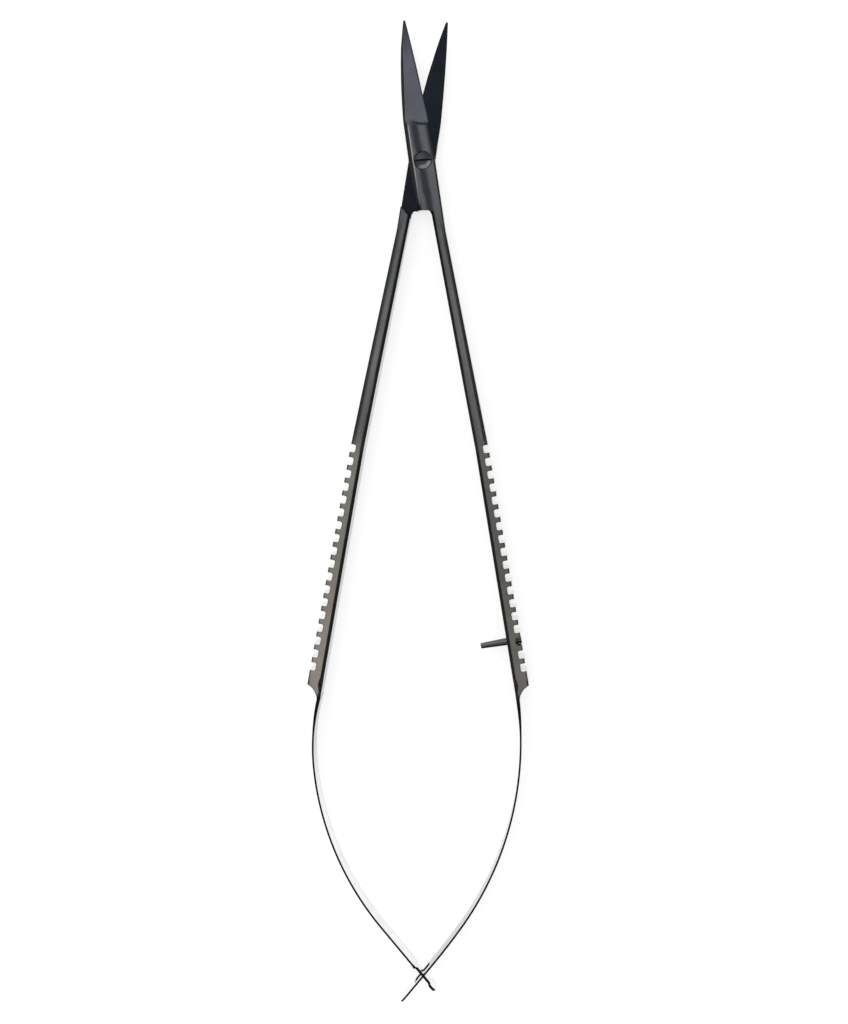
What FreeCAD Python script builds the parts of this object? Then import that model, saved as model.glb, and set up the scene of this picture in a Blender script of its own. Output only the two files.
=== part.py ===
import FreeCAD, Part
import math
import os
import Sketcher

# Spring-action micro scissors, lying flat, open at rest. Millimetres and degrees.
# Each body is drawn about the pivot: +Y to the blade tips, +Z to the screw's head, the lap's parting face at Z 0.
# The front arm has its shank on the right and its blade on the left. The back arm is its mirror image, turned over.

SIZES = {
    # Lap joint and pivot
    "pivot_shift": 0.2,
    "box_height": 3.3,
    "lap_gap": 0.04,
    "waist_half": 2.08,
    "box_side_half": 2.0,
    "box_end": 7.65,
    "box_overhang": 0.47,
    "box_bevel": 0.6,
    "box_outer_bevel": 0.22,
    "corner_round": 0.45,
    "shoulder_out": 3.1,
    "shoulder_out_rise": 0.6,
    "shoulder_in": 1.68,
    "shoulder_in_drop": 1.2,
    # Shank
    "neck_drop": 2.95,
    "neck_out": 3.7,
    "neck_width": 1.66,
    "full_height_rise": 9.9,
    "inner_bevel": 0.4,
    "outer_bevel": 0.15,
    "grinding_stock": 0.08,
    # Serrated grip
    "grip_height": 5.2,
    "grip_down": 43.9,
    "grip_out": 10.5,
    "grip_width": 2.03,
    "grip_inner_bevel": 0.48,
    "grip_end_bevel": 0.66,
    "grip_angle": 10.0,
    "grip_length": 36.55,
    "tooth_spacing": 1.98,
    "notch_count": 18,
    "notch_width": 1.2,
    "notch_depth": 0.82,
    "notch_round": 0.3,
    # Tail that carries the leaf
    "ramp_length": 1.1,
    "root_drop": 2.4,
    "root_inset": 1.65,
    "tail_width": 0.5,
    "tail_bevel": 0.08,
    "hollow_first_down": 0.55,
    "hollow_first_width": 1.55,
    "hollow_second_down": 1.3,
    "hollow_second_width": 0.92,
    # Blades
    "heel_up": 5.96,
    "heel_out": 0.94,
    "heel_spine_out": 2.86,
    "grind_runout": 0.6,
    "spine_turn_up": 17.3,
    "tip_width": 0.32,
    "heel_spine_height": 1.25,
    "heel_edge_height": 0.22,
    "tip_spine_height": 0.36,
    "tip_edge_height": 0.18,
    "tip_bevel_height": 0.2,
    "front_tip_up": 21.6,
    "front_tip_out": 3.02,
    "front_spine_out": 3.32,
    "front_spine_bow": 0.155,
    "front_edge_bow": 0.126,
    "back_tip_up": 21.4,
    "back_tip_out": 3.86,
    "back_spine_out": 3.7,
    "back_spine_bow": 0.06,
    "back_edge_bow": 0.317,
    # Leaf springs
    "leaf_thickness": 0.28,
    "leaf_root_height": 4.2,
    "leaf_end_height": 3.3,
    "seat_gap": 0.05,
    "slotted_start_angle": 7.9,
    "slotted_bow_radius": 48.5,
    "slotted_bow_angle": 43.5,
    "slotted_run_radius": 109.0,
    "slotted_run_angle": 3.9,
    "slotted_reach": 5.2,
    "slot_length": 3.4,
    "slot_height": 2.2,
    "tongue_start_angle": 13.0,
    "tongue_bow_radius": 31.7,
    "tongue_bow_angle": 20.1,
    "tongue_run_radius": 45.6,
    "tongue_run_angle": 32.9,
    "tongue_reach": 3.05,
    "neck_length": 3.5,
    "neck_height": 1.8,
    "end_round": 1.1,
    # Pivot screw
    "head_diameter": 2.6,
    "head_height": 0.5,
    "head_dome": 0.12,
    "screw_end_bevel": 0.12,
    "head_clearance": 0.05,
    "slot_width": 0.3,
    "slot_depth": 0.32,
    "slot_angle": 6.0,
    "bearing_diameter": 1.9,
    "bearing_clearance": 0.03,
    "thread_diameter": 1.6,
    "thread_clearance": 0.01,
    # Stop pin
    "pin_tooth": 15,
    "pin_diameter": 1.16,
    "pin_tip_diameter": 0.87,
    "pin_reach": 4.08,
    "pin_tip_bevel": 0.08,
    "pin_clearance": 0.015,
}


class Value:
    """A number together with the sheet expression that works it out."""

    def __init__(self, number, text):
        self.number = number
        self.text = text

    def __add__(self, other):
        other = as_value(other)
        return Value(self.number + other.number, f"({self.text} + {other.text})")

    def __radd__(self, other):
        return as_value(other) + self

    def __sub__(self, other):
        other = as_value(other)
        return Value(self.number - other.number, f"({self.text} - {other.text})")

    def __rsub__(self, other):
        return as_value(other) - self

    def __mul__(self, other):
        other = as_value(other)
        return Value(self.number * other.number, f"({self.text} * {other.text})")

    def __rmul__(self, other):
        return as_value(other) * self

    def __truediv__(self, other):
        other = as_value(other)
        return Value(self.number / other.number, f"({self.text} / {other.text})")

    def __neg__(self):
        return Value(-self.number, f"(0 - {self.text})")


def as_value(item):
    """Plain numbers join expressions as they are."""
    return item if isinstance(item, Value) else Value(item, repr(item))


def sine(angle):
    return Value(math.sin(math.radians(angle.number)), f"sin({angle.text})")


def cosine(angle):
    return Value(math.cos(math.radians(angle.number)), f"cos({angle.text})")


class Sizes:
    """The driving sizes by name."""


def fill_sheet(doc):
    """Write every driving size to the sheet and return them by name."""
    sheet = doc.addObject("Spreadsheet::Sheet", "Sizes")
    size = Sizes()
    for row, (name, number) in enumerate(SIZES.items(), start=1):
        sheet.set(f"A{row}", name.replace("_", " "))
        sheet.set(f"B{row}", str(number))
        sheet.setAlias(f"B{row}", name)
        setattr(size, name, Value(number, f"Sizes.{name}"))
    doc.recompute()
    add_places(size)
    return size


def add_places(size):
    """Places along the arm, each chained to the one before it."""
    size.shoulder_out_down = size.box_end - size.shoulder_out_rise
    size.shoulder_in_down = size.box_end + size.shoulder_in_drop
    size.neck_down = size.box_end + size.neck_drop
    size.full_height_down = size.grip_down - size.full_height_rise
    size.grip_end_down = size.grip_down + size.grip_length * cosine(size.grip_angle)
    size.grip_end_out = size.grip_out + size.grip_length * sine(size.grip_angle)
    size.ramp_down = size.grip_end_down - size.ramp_length
    size.root_down = size.grip_end_down + size.root_drop
    size.root_out = size.grip_end_out - size.root_inset


# Sketch and feature helpers

def origin_plane(body, role):
    return next(item for item in body.Origin.OriginFeatures if item.Role == role)


def bind(item, path, value):
    """Tie one property or constraint of an object to the sheet."""
    item.setExpression(path, value.text)


def new_sketch(body, name, role="XY_Plane", shift=(0, 0, 0), turn=None, axis=(0, 0, 1)):
    """Empty sketch on one of the body's planes, shifted and turned in that plane's own frame."""
    shift = [as_value(item) for item in shift]
    turn = as_value(turn or 0)
    sketch = body.newObject("Sketcher::SketchObject", name)
    sketch.AttachmentSupport = (origin_plane(body, role), [""])
    sketch.MapMode = "FlatFace"
    base = FreeCAD.Vector(*[item.number for item in shift])
    sketch.AttachmentOffset = FreeCAD.Placement(base, FreeCAD.Rotation(FreeCAD.Vector(*axis), turn.number))
    for letter, item in zip("xyz", shift):
        bind(sketch, f"AttachmentOffset.Base.{letter}", item)
    if turn.number:
        bind(sketch, "AttachmentOffset.Rotation.Angle", turn)
    return sketch


def fix_point(sketch, edge, end, x, y):
    """Hold one end of an edge at x and y."""
    for kind, value in (("DistanceX", x), ("DistanceY", y)):
        index = sketch.addConstraint(Sketcher.Constraint(kind, -1, 1, edge, end, value.number))
        bind(sketch, f"Constraints[{index}]", value)


def draw_outline(sketch, corners, side=1):
    """Closed outline, anticlockwise for side 1. A corner's third value bows the edge that follows it outwards."""
    points = [[as_value(item) for item in corner] for corner in corners]
    points = [[side * point[0], point[1], side * point[2] if len(point) > 2 else None] for point in points]
    first_edge = len(sketch.Geometry)
    count = len(points)
    starts = []
    ends = []
    for index, (x, y, bow) in enumerate(points):
        next_x, next_y, _ = points[(index + 1) % count]
        start = FreeCAD.Vector(x.number, y.number, 0)
        end = FreeCAD.Vector(next_x.number, next_y.number, 0)
        if bow is None:
            sketch.addGeometry(Part.LineSegment(start, end), False)
            starts.append(1)
            ends.append(2)
            continue
        chord = end - start
        outward = FreeCAD.Vector(chord.y, -chord.x, 0).normalize()
        middle = (start + end) * 0.5 + outward * bow.number
        bulges = bow.number > 0
        arc = Part.Arc(start, middle, end) if bulges else Part.Arc(end, middle, start)
        sketch.addGeometry(arc, False)
        starts.append(1 if bulges else 2)
        ends.append(2 if bulges else 1)
    for index in range(count):
        after = (index + 1) % count
        edge = first_edge + index
        next_edge = first_edge + after
        sketch.addConstraint(Sketcher.Constraint("Coincident", edge, ends[index], next_edge, starts[after]))
    for index, (x, y, bow) in enumerate(points):
        fix_point(sketch, first_edge + index, starts[index], x, y)
        if bow is not None:
            next_x, next_y, _ = points[(index + 1) % count]
            rise = bow if bow.number > 0 else -bow
            run_x = next_x - x
            run_y = next_y - y
            radius = ((run_x * run_x + run_y * run_y) / 4 + rise * rise) / (2 * rise)
            item = sketch.addConstraint(Sketcher.Constraint("Radius", first_edge + index, radius.number))
            bind(sketch, f"Constraints[{item}]", radius)


def draw_circle(sketch, x, y, diameter):
    """Circle about x and y."""
    x, y, diameter = as_value(x), as_value(y), as_value(diameter)
    circle = Part.Circle(FreeCAD.Vector(x.number, y.number, 0), FreeCAD.Vector(0, 0, 1), diameter.number / 2)
    edge = sketch.addGeometry(circle, False)
    fix_point(sketch, edge, 3, x, y)
    index = sketch.addConstraint(Sketcher.Constraint("Diameter", edge, diameter.number))
    bind(sketch, f"Constraints[{index}]", diameter)


def pad(body, sketch, name, height):
    """Solid of a given height, centred on its sketch."""
    feature = body.newObject("PartDesign::Pad", name)
    feature.Profile = sketch
    feature.SideType = "Symmetric"
    feature.Length = height.number
    bind(feature, "Length", height)
    return feature


def pocket(body, sketch, name, depth=None, reverse=False, centred=False):
    """Cut to a depth, or right through where none is given."""
    feature = body.newObject("PartDesign::Pocket", name)
    feature.Profile = sketch
    if centred:
        feature.SideType = "Symmetric"
    if depth is None:
        feature.Type = "ThroughAll"
    else:
        feature.Length = depth.number
        bind(feature, "Length", depth)
    feature.Reversed = reverse
    return feature


def place(body, x, y, z, turn=None):
    """Move a finished body from its own frame to the part's frame."""
    turn = as_value(turn or 0)
    x, y, z = as_value(x), as_value(y), as_value(z)
    rotation = FreeCAD.Rotation(FreeCAD.Vector(0, 0, 1), turn.number)
    body.Placement = FreeCAD.Placement(FreeCAD.Vector(x.number, y.number, z.number), rotation)
    for letter, value in zip("xyz", (x, y, z)):
        bind(body, f"Placement.Base.{letter}", value)
    if turn.number:
        bind(body, "Placement.Rotation.Angle", turn)


# The leaf springs' centre lines, worked out for a leaf on the right

class LeafLine:
    """Two tangent arcs and a straight tail. Headings are measured inwards from straight down."""

    def __init__(self, size, kind):
        self.start = -getattr(size, f"{kind}_start_angle")
        self.bow_radius = getattr(size, f"{kind}_bow_radius")
        self.run_radius = getattr(size, f"{kind}_run_radius")
        self.turn = self.start + getattr(size, f"{kind}_bow_angle")
        self.final = self.turn + getattr(size, f"{kind}_run_angle")
        self.reach = getattr(size, f"{kind}_reach")
        self.root = (size.root_out, -size.root_down)
        self.bow_end = self.arc_end(self.root, self.bow_radius, self.start, self.turn)
        self.run_end = self.arc_end(self.bow_end, self.run_radius, self.turn, self.final)

    def arc_end(self, point, radius, heading, new_heading):
        x = point[0] + radius * (cosine(new_heading) - cosine(heading))
        y = point[1] + radius * (sine(heading) - sine(new_heading))
        return (x, y)

    def beside(self, point, heading, offset):
        """Point at an offset outwards from the centre line."""
        return (point[0] + offset * cosine(heading), point[1] - offset * sine(heading))

    def along(self, distance):
        """Point on the straight tail at a distance past the end of the arcs."""
        return (self.run_end[0] - distance * sine(self.final), self.run_end[1] - distance * cosine(self.final))


def tail_to_crossing(own, other):
    """Distance along one leaf's straight tail to where the other's tail crosses it."""
    across = (own.run_end[0] + other.run_end[0]) * cosine(other.final)
    down = (own.run_end[1] - other.run_end[1]) * sine(other.final)
    return (across + down) / sine(own.final + other.final)


def bow_of(radius, turn):
    """Rise of an arc over its chord."""
    return radius * (1 - cosine(turn / 2))


# Arms

def between(first, second, share):
    """Value part of the way from the first to the second."""
    return first + (second - first) * share


def draw_bar_section(sketch, inner, outer, half_height, inner_bevel, outer_bevel, side):
    """Bar's section across y: a rectangle with all four corners bevelled, the inner two more than the outer two."""
    draw_outline(sketch, [
        (inner + inner_bevel, -half_height),
        (outer - outer_bevel, -half_height),
        (outer, -half_height + outer_bevel),
        (outer, half_height - outer_bevel),
        (outer - outer_bevel, half_height),
        (inner + inner_bevel, half_height),
        (inner, half_height - inner_bevel),
        (inner, -half_height + inner_bevel),
    ], side)


def loft_bar(body, name, sections, side, straight=True):
    """Bar through sections, each given as its y, inner and outer x, half height, and inner and outer bevel."""
    sketches = []
    for index, (up, inner, outer, half_height, inner_bevel, outer_bevel) in enumerate(sections):
        sketch = new_sketch(body, f"{name}_section_{index}", "XZ_Plane", shift=(0, 0, -up))
        draw_bar_section(sketch, inner, outer, half_height, inner_bevel, outer_bevel, side)
        sketches.append(sketch)
    feature = body.newObject("PartDesign::AdditiveLoft", name)
    feature.Profile = sketches[0]
    feature.Sections = sketches[1:]
    feature.Ruled = straight
    return feature


def add_lap_box(body, size, side):
    """The thick middle that the pivot goes through, from the blade's heel to its end below the pivot."""
    half = size.box_height / 2
    outer_end = between(size.waist_half, size.neck_out, size.box_end / size.neck_down)
    bevels = (size.box_bevel, size.box_outer_bevel)
    sections = (
        (size.heel_up, -size.heel_spine_out, size.heel_out, half, *bevels),
        (as_value(0), -size.box_side_half, size.waist_half, half, *bevels),
        (-size.box_end, -size.box_overhang, outer_end, half, *bevels),
    )
    return loft_bar(body, "lap_box", sections, side)


def add_blade(body, size, kind, side):
    """Flat blade past the heel, between a bowed spine and a bowed cutting edge."""
    tip_out = getattr(size, f"{kind}_tip_out")
    tip_up = getattr(size, f"{kind}_tip_up")
    sketch = new_sketch(body, "blade_outline")
    draw_outline(sketch, [
        (-tip_out, tip_up),
        (-getattr(size, f"{kind}_spine_out"), size.spine_turn_up, getattr(size, f"{kind}_spine_bow")),
        (-size.heel_spine_out, size.heel_up),
        (size.heel_out, size.heel_up, getattr(size, f"{kind}_edge_bow")),
        (size.tip_width - tip_out, tip_up),
    ], side)
    return pad(body, sketch, "blade", size.box_height)


def add_shank_and_grip(body, size, side):
    """Slim shank that widens and deepens from the lap to the grip, then the grip, as one bar."""
    low = size.box_height / 2
    high = size.grip_height / 2 + size.grinding_stock
    neck_in = size.neck_out - size.neck_width
    grip_in = size.grip_out - size.grip_width
    slope = (grip_in - neck_in) / (size.grip_down - size.neck_down)
    start_share = size.box_end / size.neck_down
    full_share = (size.full_height_down - size.neck_down) / (size.grip_down - size.neck_down)
    ramp_share = (size.ramp_down - size.grip_down) / grip_fall(size)
    end_in = grip_end_in(size)
    end_out = size.grip_end_out
    outer_bevel = size.outer_bevel + size.grinding_stock
    grip_bevel = size.grip_inner_bevel + size.grinding_stock
    sections = (
        (-size.box_end, neck_in - (size.neck_down - size.box_end) * slope,
         between(size.waist_half, size.neck_out, start_share), low, size.inner_bevel, size.box_outer_bevel),
        (-size.neck_down, neck_in, size.neck_out, low, size.inner_bevel, size.outer_bevel),
        (-size.full_height_down, between(neck_in, grip_in, full_share),
         between(size.neck_out, size.grip_out, full_share), high, size.inner_bevel + size.grinding_stock, outer_bevel),
        (-size.grip_down, grip_in, size.grip_out, high, grip_bevel, outer_bevel),
        (-size.ramp_down, between(grip_in, end_in, ramp_share),
         between(size.grip_out, end_out, ramp_share), high, grip_bevel, outer_bevel),
        (-size.grip_end_down, end_in, end_out, end_height(size), size.grip_end_bevel, outer_bevel),
    )
    return loft_bar(body, "shank_and_grip", sections, side)


def add_inner_corner(body, size, side):
    """Rounded corner where the box's lower end meets the shank's inner face."""
    slope = (size.grip_out - size.grip_width - size.neck_out + size.neck_width) / (size.grip_down - size.neck_down)
    inner = size.neck_out - size.neck_width - size.neck_drop * slope
    root = size.corner_round
    sunk = size.neck_width / 4
    sketch = new_sketch(body, "inner_corner")
    draw_outline(sketch, [
        (inner - root, -size.box_end, -bow_of(root, as_value(90))),
        (inner, -(size.box_end + root)),
        (inner + sunk, -(size.box_end + root)),
        (inner + sunk, sunk - size.box_end),
        (inner - root, sunk - size.box_end),
    ], side)
    return pad(body, sketch, "inner_corner_pad", size.box_height - 2 * size.box_bevel)


def grip_fall(size):
    """Distance in y from the grip's start to its end corner."""
    return size.grip_end_down - size.grip_down


def grip_end_in(size):
    """Inner x at the grip's end corner, on the straight inner line from the grip's start to the leaf."""
    grip_in = size.grip_out - size.grip_width
    tail_in = size.root_out - size.tail_width / 2
    share = grip_fall(size) / (size.root_down - size.grip_down)
    return between(grip_in, tail_in, share)


def end_height(size):
    """Half height of the arm at the grip's end corner, part of the way down the ramp."""
    share = size.ramp_length / (size.root_down - size.ramp_down)
    return between(size.grip_height / 2 + size.grinding_stock, size.leaf_root_height / 2, share)


def add_tail(body, size, side):
    """Hollow sweep from the grip's end corner in to the leaf's root."""
    corner_down = size.grip_end_down
    end_in = grip_end_in(size)
    tail_in = size.root_out - size.tail_width / 2
    tail_length = size.root_drop
    outer_bevel = size.outer_bevel + size.grinding_stock
    sections = [(-corner_down, end_in, size.grip_end_out, end_height(size), size.grip_end_bevel, outer_bevel)]
    hollows = (
        (size.hollow_first_down, size.hollow_first_width),
        (size.hollow_second_down, size.hollow_second_width),
        (tail_length, size.tail_width),
    )
    for down, width in hollows:
        share = down / tail_length
        inner = between(end_in, tail_in, share)
        half_height = between(end_height(size), size.leaf_root_height / 2, share)
        bevels = (between(size.grip_end_bevel, size.tail_bevel, share), between(outer_bevel, size.tail_bevel, share))
        sections.append((-(corner_down + down), inner, inner + width, half_height, *bevels))
    return loft_bar(body, "tail", sections, side, straight=False)


def grind_flat(body, size):
    """Grind the grip's two broad faces flat and down to size."""
    reach = size.root_out + size.grip_width
    for name, height, reverse in (("upper", size.grip_height / 2, True), ("lower", -size.grip_height / 2, False)):
        sketch = new_sketch(body, f"{name}_face", shift=(0, 0, height))
        draw_outline(sketch, [
            (-reach, -(size.root_down + size.grip_width)),
            (reach, -(size.root_down + size.grip_width)),
            (reach, -size.neck_down),
            (-reach, -size.neck_down),
        ])
        pocket(body, sketch, f"{name}_face_cut", reverse=reverse)


def lap_cut(body, size, side):
    """Take away half the height above the slanting shoulder, so that the two arms lap."""
    half_gap = side * size.lap_gap / 2
    sketch = new_sketch(body, "lap", shift=(0, 0, half_gap))
    fall = (size.shoulder_in_down - size.shoulder_out_down) / (size.shoulder_out - size.shoulder_in)
    margin = size.box_height
    draw_outline(sketch, [
        (size.shoulder_out + margin, -size.shoulder_out_down + fall * margin),
        (size.shoulder_out + margin, size.front_tip_up + margin),
        (-(size.shoulder_out + margin), size.front_tip_up + margin),
        (-(size.shoulder_out + margin), -(size.shoulder_in_down + margin)),
        (size.shoulder_in - margin, -(size.shoulder_in_down + fall * margin)),
    ], side)
    return pocket(body, sketch, "lap_cut", reverse=side < 0)


def grind_blade(body, size, kind, side):
    """Grind the blade's outer face from a thick spine to a thin cutting edge, with a short runout at the heel."""
    tip_out = getattr(size, f"{kind}_tip_out")
    tip_up = getattr(size, f"{kind}_tip_up")
    margin = size.box_height / 2
    clear = size.box_height
    proud = size.box_height / 2 + size.lap_gap
    level = (proud, proud)
    sections = (
        ("grind_start", size.heel_up - size.grind_runout, -size.waist_half, size.waist_half, level),
        ("grind_heel", size.heel_up, -size.waist_half, size.heel_out, (size.heel_spine_height, size.heel_edge_height)),
        ("grind_tip", tip_up, -tip_out, size.tip_width - tip_out, (size.tip_spine_height, size.tip_edge_height)),
    )
    sketches = []
    for name, up, spine, edge, (spine_height, edge_height) in sections:
        slope = (edge_height - spine_height) / (edge - spine)
        sketch = new_sketch(body, name, "XZ_Plane", shift=(0, 0, -up))
        draw_outline(sketch, [
            (spine - margin, side * (spine_height - slope * margin)),
            (edge + margin, side * (edge_height + slope * margin)),
            (edge + margin, side * clear),
            (spine - margin, side * clear),
        ], side)
        sketches.append(sketch)
    feature = body.newObject("PartDesign::SubtractiveLoft", "grind")
    feature.Profile = sketches[0]
    feature.Sections = sketches[1:]
    feature.Ruled = True
    return feature


def bevel_spine(body, size, kind, side):
    """Carry the box's bevel on along the blade's spine, ever lower towards the tip."""
    tip_out = getattr(size, f"{kind}_tip_out")
    tip_up = getattr(size, f"{kind}_tip_up")
    turn_out = getattr(size, f"{kind}_spine_out")
    start = size.box_height / 2 - size.box_bevel
    turn_share = (size.spine_turn_up - size.heel_up) / (tip_up - size.heel_up)
    clear = size.box_height
    sections = (
        ("spine_bevel_heel", size.heel_up, size.heel_spine_out, start),
        ("spine_bevel_turn", size.spine_turn_up, turn_out, between(start, size.tip_bevel_height, turn_share)),
        ("spine_bevel_tip", tip_up, tip_out, size.tip_bevel_height),
    )
    sketches = []
    for name, up, out, height in sections:
        sketch = new_sketch(body, name, "XZ_Plane", shift=(0, 0, -up))
        draw_outline(sketch, [
            (-(out + clear), side * (height - clear)),
            (-(out - clear), side * (height + clear)),
            (-(out + clear), side * (height + clear)),
        ], side)
        sketches.append(sketch)
    feature = body.newObject("PartDesign::SubtractiveLoft", "spine_bevel")
    feature.Profile = sketches[0]
    feature.Sections = sketches[1:]
    feature.Ruled = True
    return feature


def grip_sketch(body, size, name, side):
    """Sketch in the grip's own frame: x outwards, y up along the grip's outer line."""
    return new_sketch(body, name, shift=(side * size.grip_out, -size.grip_down, 0), turn=side * size.grip_angle)


def cut_notches(body, size, side):
    """One notch with rounded roots, repeated down the grip."""
    sketch = grip_sketch(body, size, "notch", side)
    half = size.notch_width / 2
    root = size.notch_round
    corner_bow = bow_of(root, as_value(90))
    draw_outline(sketch, [
        (-size.notch_depth, -(half - root), corner_bow),
        (-size.notch_depth + root, -half),
        (size.notch_depth, -half),
        (size.notch_depth, half),
        (-size.notch_depth + root, half, corner_bow),
        (-size.notch_depth, half - root),
    ], side)
    cut = pocket(body, sketch, "notch_cut", centred=True)
    body.Document.recompute()
    pattern = body.newObject("PartDesign::LinearPattern", "serrations")
    pattern.Originals = [cut]
    pattern.Direction = (sketch, ["V_Axis"])
    pattern.Reversed = True
    length = size.tooth_spacing * (size.notch_count - 1)
    pattern.Length = length.number
    pattern.Occurrences = int(size.notch_count.number)
    bind(pattern, "Length", length)
    bind(pattern, "Occurrences", size.notch_count)
    body.Tip = pattern
    return pattern


def bore(body, name, x, y, z, diameter, depth=None, reverse=False):
    """Round hole along z."""
    sketch = new_sketch(body, name, shift=(0, 0, z))
    draw_circle(sketch, x, y, diameter)
    return pocket(body, sketch, f"{name}_cut", depth, reverse, centred=depth is None)


def cut_seat(body, size, side):
    """Hollow in the tail's end that the leaf's round root turns in."""
    diameter = size.leaf_thickness + 2 * size.seat_gap
    return bore(body, "leaf_seat", side * size.root_out, -size.root_down, 0, diameter)


def build_arm(doc, size, name, kind, side):
    """One forging. Side 1 is the front arm, side -1 the back arm, mirrored in x and in z."""
    body = doc.addObject("PartDesign::Body", name)
    body.Label = name
    add_lap_box(body, size, side)
    add_blade(body, size, kind, side)
    add_shank_and_grip(body, size, side)
    add_inner_corner(body, size, side)
    add_tail(body, size, side)
    grind_flat(body, size)
    lap_cut(body, size, side)
    grind_blade(body, size, kind, side)
    bevel_spine(body, size, kind, side)
    cut_notches(body, size, side)
    cut_seat(body, size, side)
    return body


def finish_front_arm(body, size):
    """Running hole and counterbore for the screw, and the stop pin's hole through one notch."""
    bearing = size.bearing_diameter + 2 * size.bearing_clearance
    bore(body, "bearing_hole", size.pivot_shift, 0, 0, bearing)
    head = size.head_diameter + 2 * size.head_clearance
    recess_floor = size.box_height / 2 - size.head_height
    bore(body, "head_recess", size.pivot_shift, 0, recess_floor, head, size.box_height, reverse=True)
    sketch = new_sketch(body, "pin_hole", "YZ_Plane", shift=(-size.grip_down, 0, size.grip_out),
                        turn=size.grip_angle, axis=(0, 1, 0))
    draw_circle(sketch, -size.tooth_spacing * size.pin_tooth, 0, size.pin_diameter + 2 * size.pin_clearance)
    pocket(body, sketch, "pin_hole_cut", centred=True)


def finish_back_arm(body, size):
    """Threaded hole that holds the screw."""
    bore(body, "thread_hole", size.pivot_shift, 0, 0, size.thread_diameter + 2 * size.thread_clearance)


# Screw and pin, each turned about its own axis

def turned(body, sketch, name, axis):
    """Solid of revolution about one of the sketch's own axes."""
    feature = body.newObject("PartDesign::Revolution", name)
    feature.Profile = sketch
    feature.ReferenceAxis = (sketch, [axis])
    feature.Angle = 360
    return feature


def build_screw(doc, size):
    """Slotted screw with a low domed head, a bearing and a thread that ends flush under the back arm."""
    body = doc.addObject("PartDesign::Body", "pivot_screw")
    body.Label = "pivot_screw"
    profile = new_sketch(body, "profile", "XZ_Plane")
    top = size.box_height / 2
    bottom = -size.box_height / 2
    under_head = top - size.head_height + size.bearing_clearance
    thread = size.thread_diameter / 2
    head = size.head_diameter / 2
    dome_rise = size.head_dome / 4
    draw_outline(profile, [
        (0, bottom),
        (thread - size.screw_end_bevel, bottom),
        (thread, bottom + size.screw_end_bevel),
        (thread, -size.lap_gap / 2),
        (size.bearing_diameter / 2, -size.lap_gap / 2),
        (size.bearing_diameter / 2, under_head),
        (head, under_head),
        (head, top, dome_rise),
        (0, top + size.head_dome),
    ])
    turned(body, profile, "turned_screw", "V_Axis")
    slot = new_sketch(body, "driver_slot", shift=(0, 0, top + size.head_dome), turn=size.slot_angle)
    half = size.slot_width / 2
    draw_outline(slot, [
        (-size.head_diameter, -half),
        (size.head_diameter, -half),
        (size.head_diameter, half),
        (-size.head_diameter, half),
    ])
    pocket(body, slot, "slot_cut", size.slot_depth + size.head_dome)
    return body


def grip_depth(size, share):
    """Distance through the grip along its outer line's normal, at a share of its length."""
    end_in = grip_end_in(size)
    lean = (end_in - size.grip_out + size.grip_width) / grip_fall(size)
    width = between(size.grip_width, size.grip_end_out - end_in, share)
    return width / (cosine(size.grip_angle) + lean * sine(size.grip_angle))


def build_pin(doc, size):
    """Stop pin, straight through the grip and tapered past its inner face."""
    body = doc.addObject("PartDesign::Body", "stop_pin")
    body.Label = "stop_pin"
    profile = new_sketch(body, "profile")
    depth = grip_depth(size, size.tooth_spacing * size.pin_tooth / size.grip_length)
    tip = size.pin_tip_diameter / 2
    end = depth + size.pin_reach
    draw_outline(profile, [
        (-end, 0),
        (0, 0),
        (0, size.pin_diameter / 2),
        (-depth, size.pin_diameter / 2),
        (-(end - size.pin_tip_bevel), tip),
        (-end, tip - size.pin_tip_bevel),
    ])
    turned(body, profile, "turned_pin", "H_Axis")
    return body


def build_leaf(doc, size, name, side, own, other):
    """Thin strip on edge along its centre line, tapering in height, with a round root."""
    body = doc.addObject("PartDesign::Body", name)
    body.Label = name
    half = size.leaf_thickness / 2
    end = own.along(tail_to_crossing(own, other) + own.reach)
    outline = new_sketch(body, "strip")
    bow_rise = bow_of(own.bow_radius + half, own.turn - own.start)
    run_rise = bow_of(own.run_radius + half, own.final - own.turn)
    inner_bow_rise = bow_of(own.bow_radius - half, own.turn - own.start)
    inner_run_rise = bow_of(own.run_radius - half, own.final - own.turn)
    outer = [
        own.beside(end, own.final, half),
        own.beside(own.run_end, own.final, half) + (run_rise,),
        own.beside(own.bow_end, own.turn, half) + (bow_rise,),
        own.beside(own.root, own.start, half),
    ]
    inner = [
        own.beside(own.root, own.start, -half) + (-inner_bow_rise,),
        own.beside(own.bow_end, own.turn, -half) + (-inner_run_rise,),
        own.beside(own.run_end, own.final, -half),
        own.beside(end, own.final, -half),
    ]
    draw_outline(outline, outer + inner, side)
    pad(body, outline, "leaf", size.leaf_root_height)
    root = new_sketch(body, "root")
    draw_circle(root, side * own.root[0], own.root[1], size.leaf_thickness)
    pad(body, root, "round_root", size.leaf_root_height)
    taper = new_sketch(body, "taper", "YZ_Plane")
    for sign in (1, -1):
        above = sign * size.leaf_root_height
        draw_outline(taper, [
            (own.root[1], sign * size.leaf_root_height / 2),
            (own.root[1], above),
            (end[1] - size.end_round, above),
            (end[1] - size.end_round, sign * size.leaf_end_height / 2),
            (end[1], sign * size.leaf_end_height / 2),
        ])
    pocket(body, taper, "height_taper", centred=True)
    round_end(body, size, side, own, other)
    return body


def face_sketch(body, size, name, side, own, other):
    """Sketch on the tail's broad face, x along the tail and y up, about the point where the two leaves cross."""
    crossing = own.along(tail_to_crossing(own, other))
    turn = side * (90 - own.final)
    return new_sketch(body, name, "XZ_Plane", shift=(side * crossing[0], 0, -crossing[1]), turn=turn, axis=(0, 1, 0))


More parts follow.
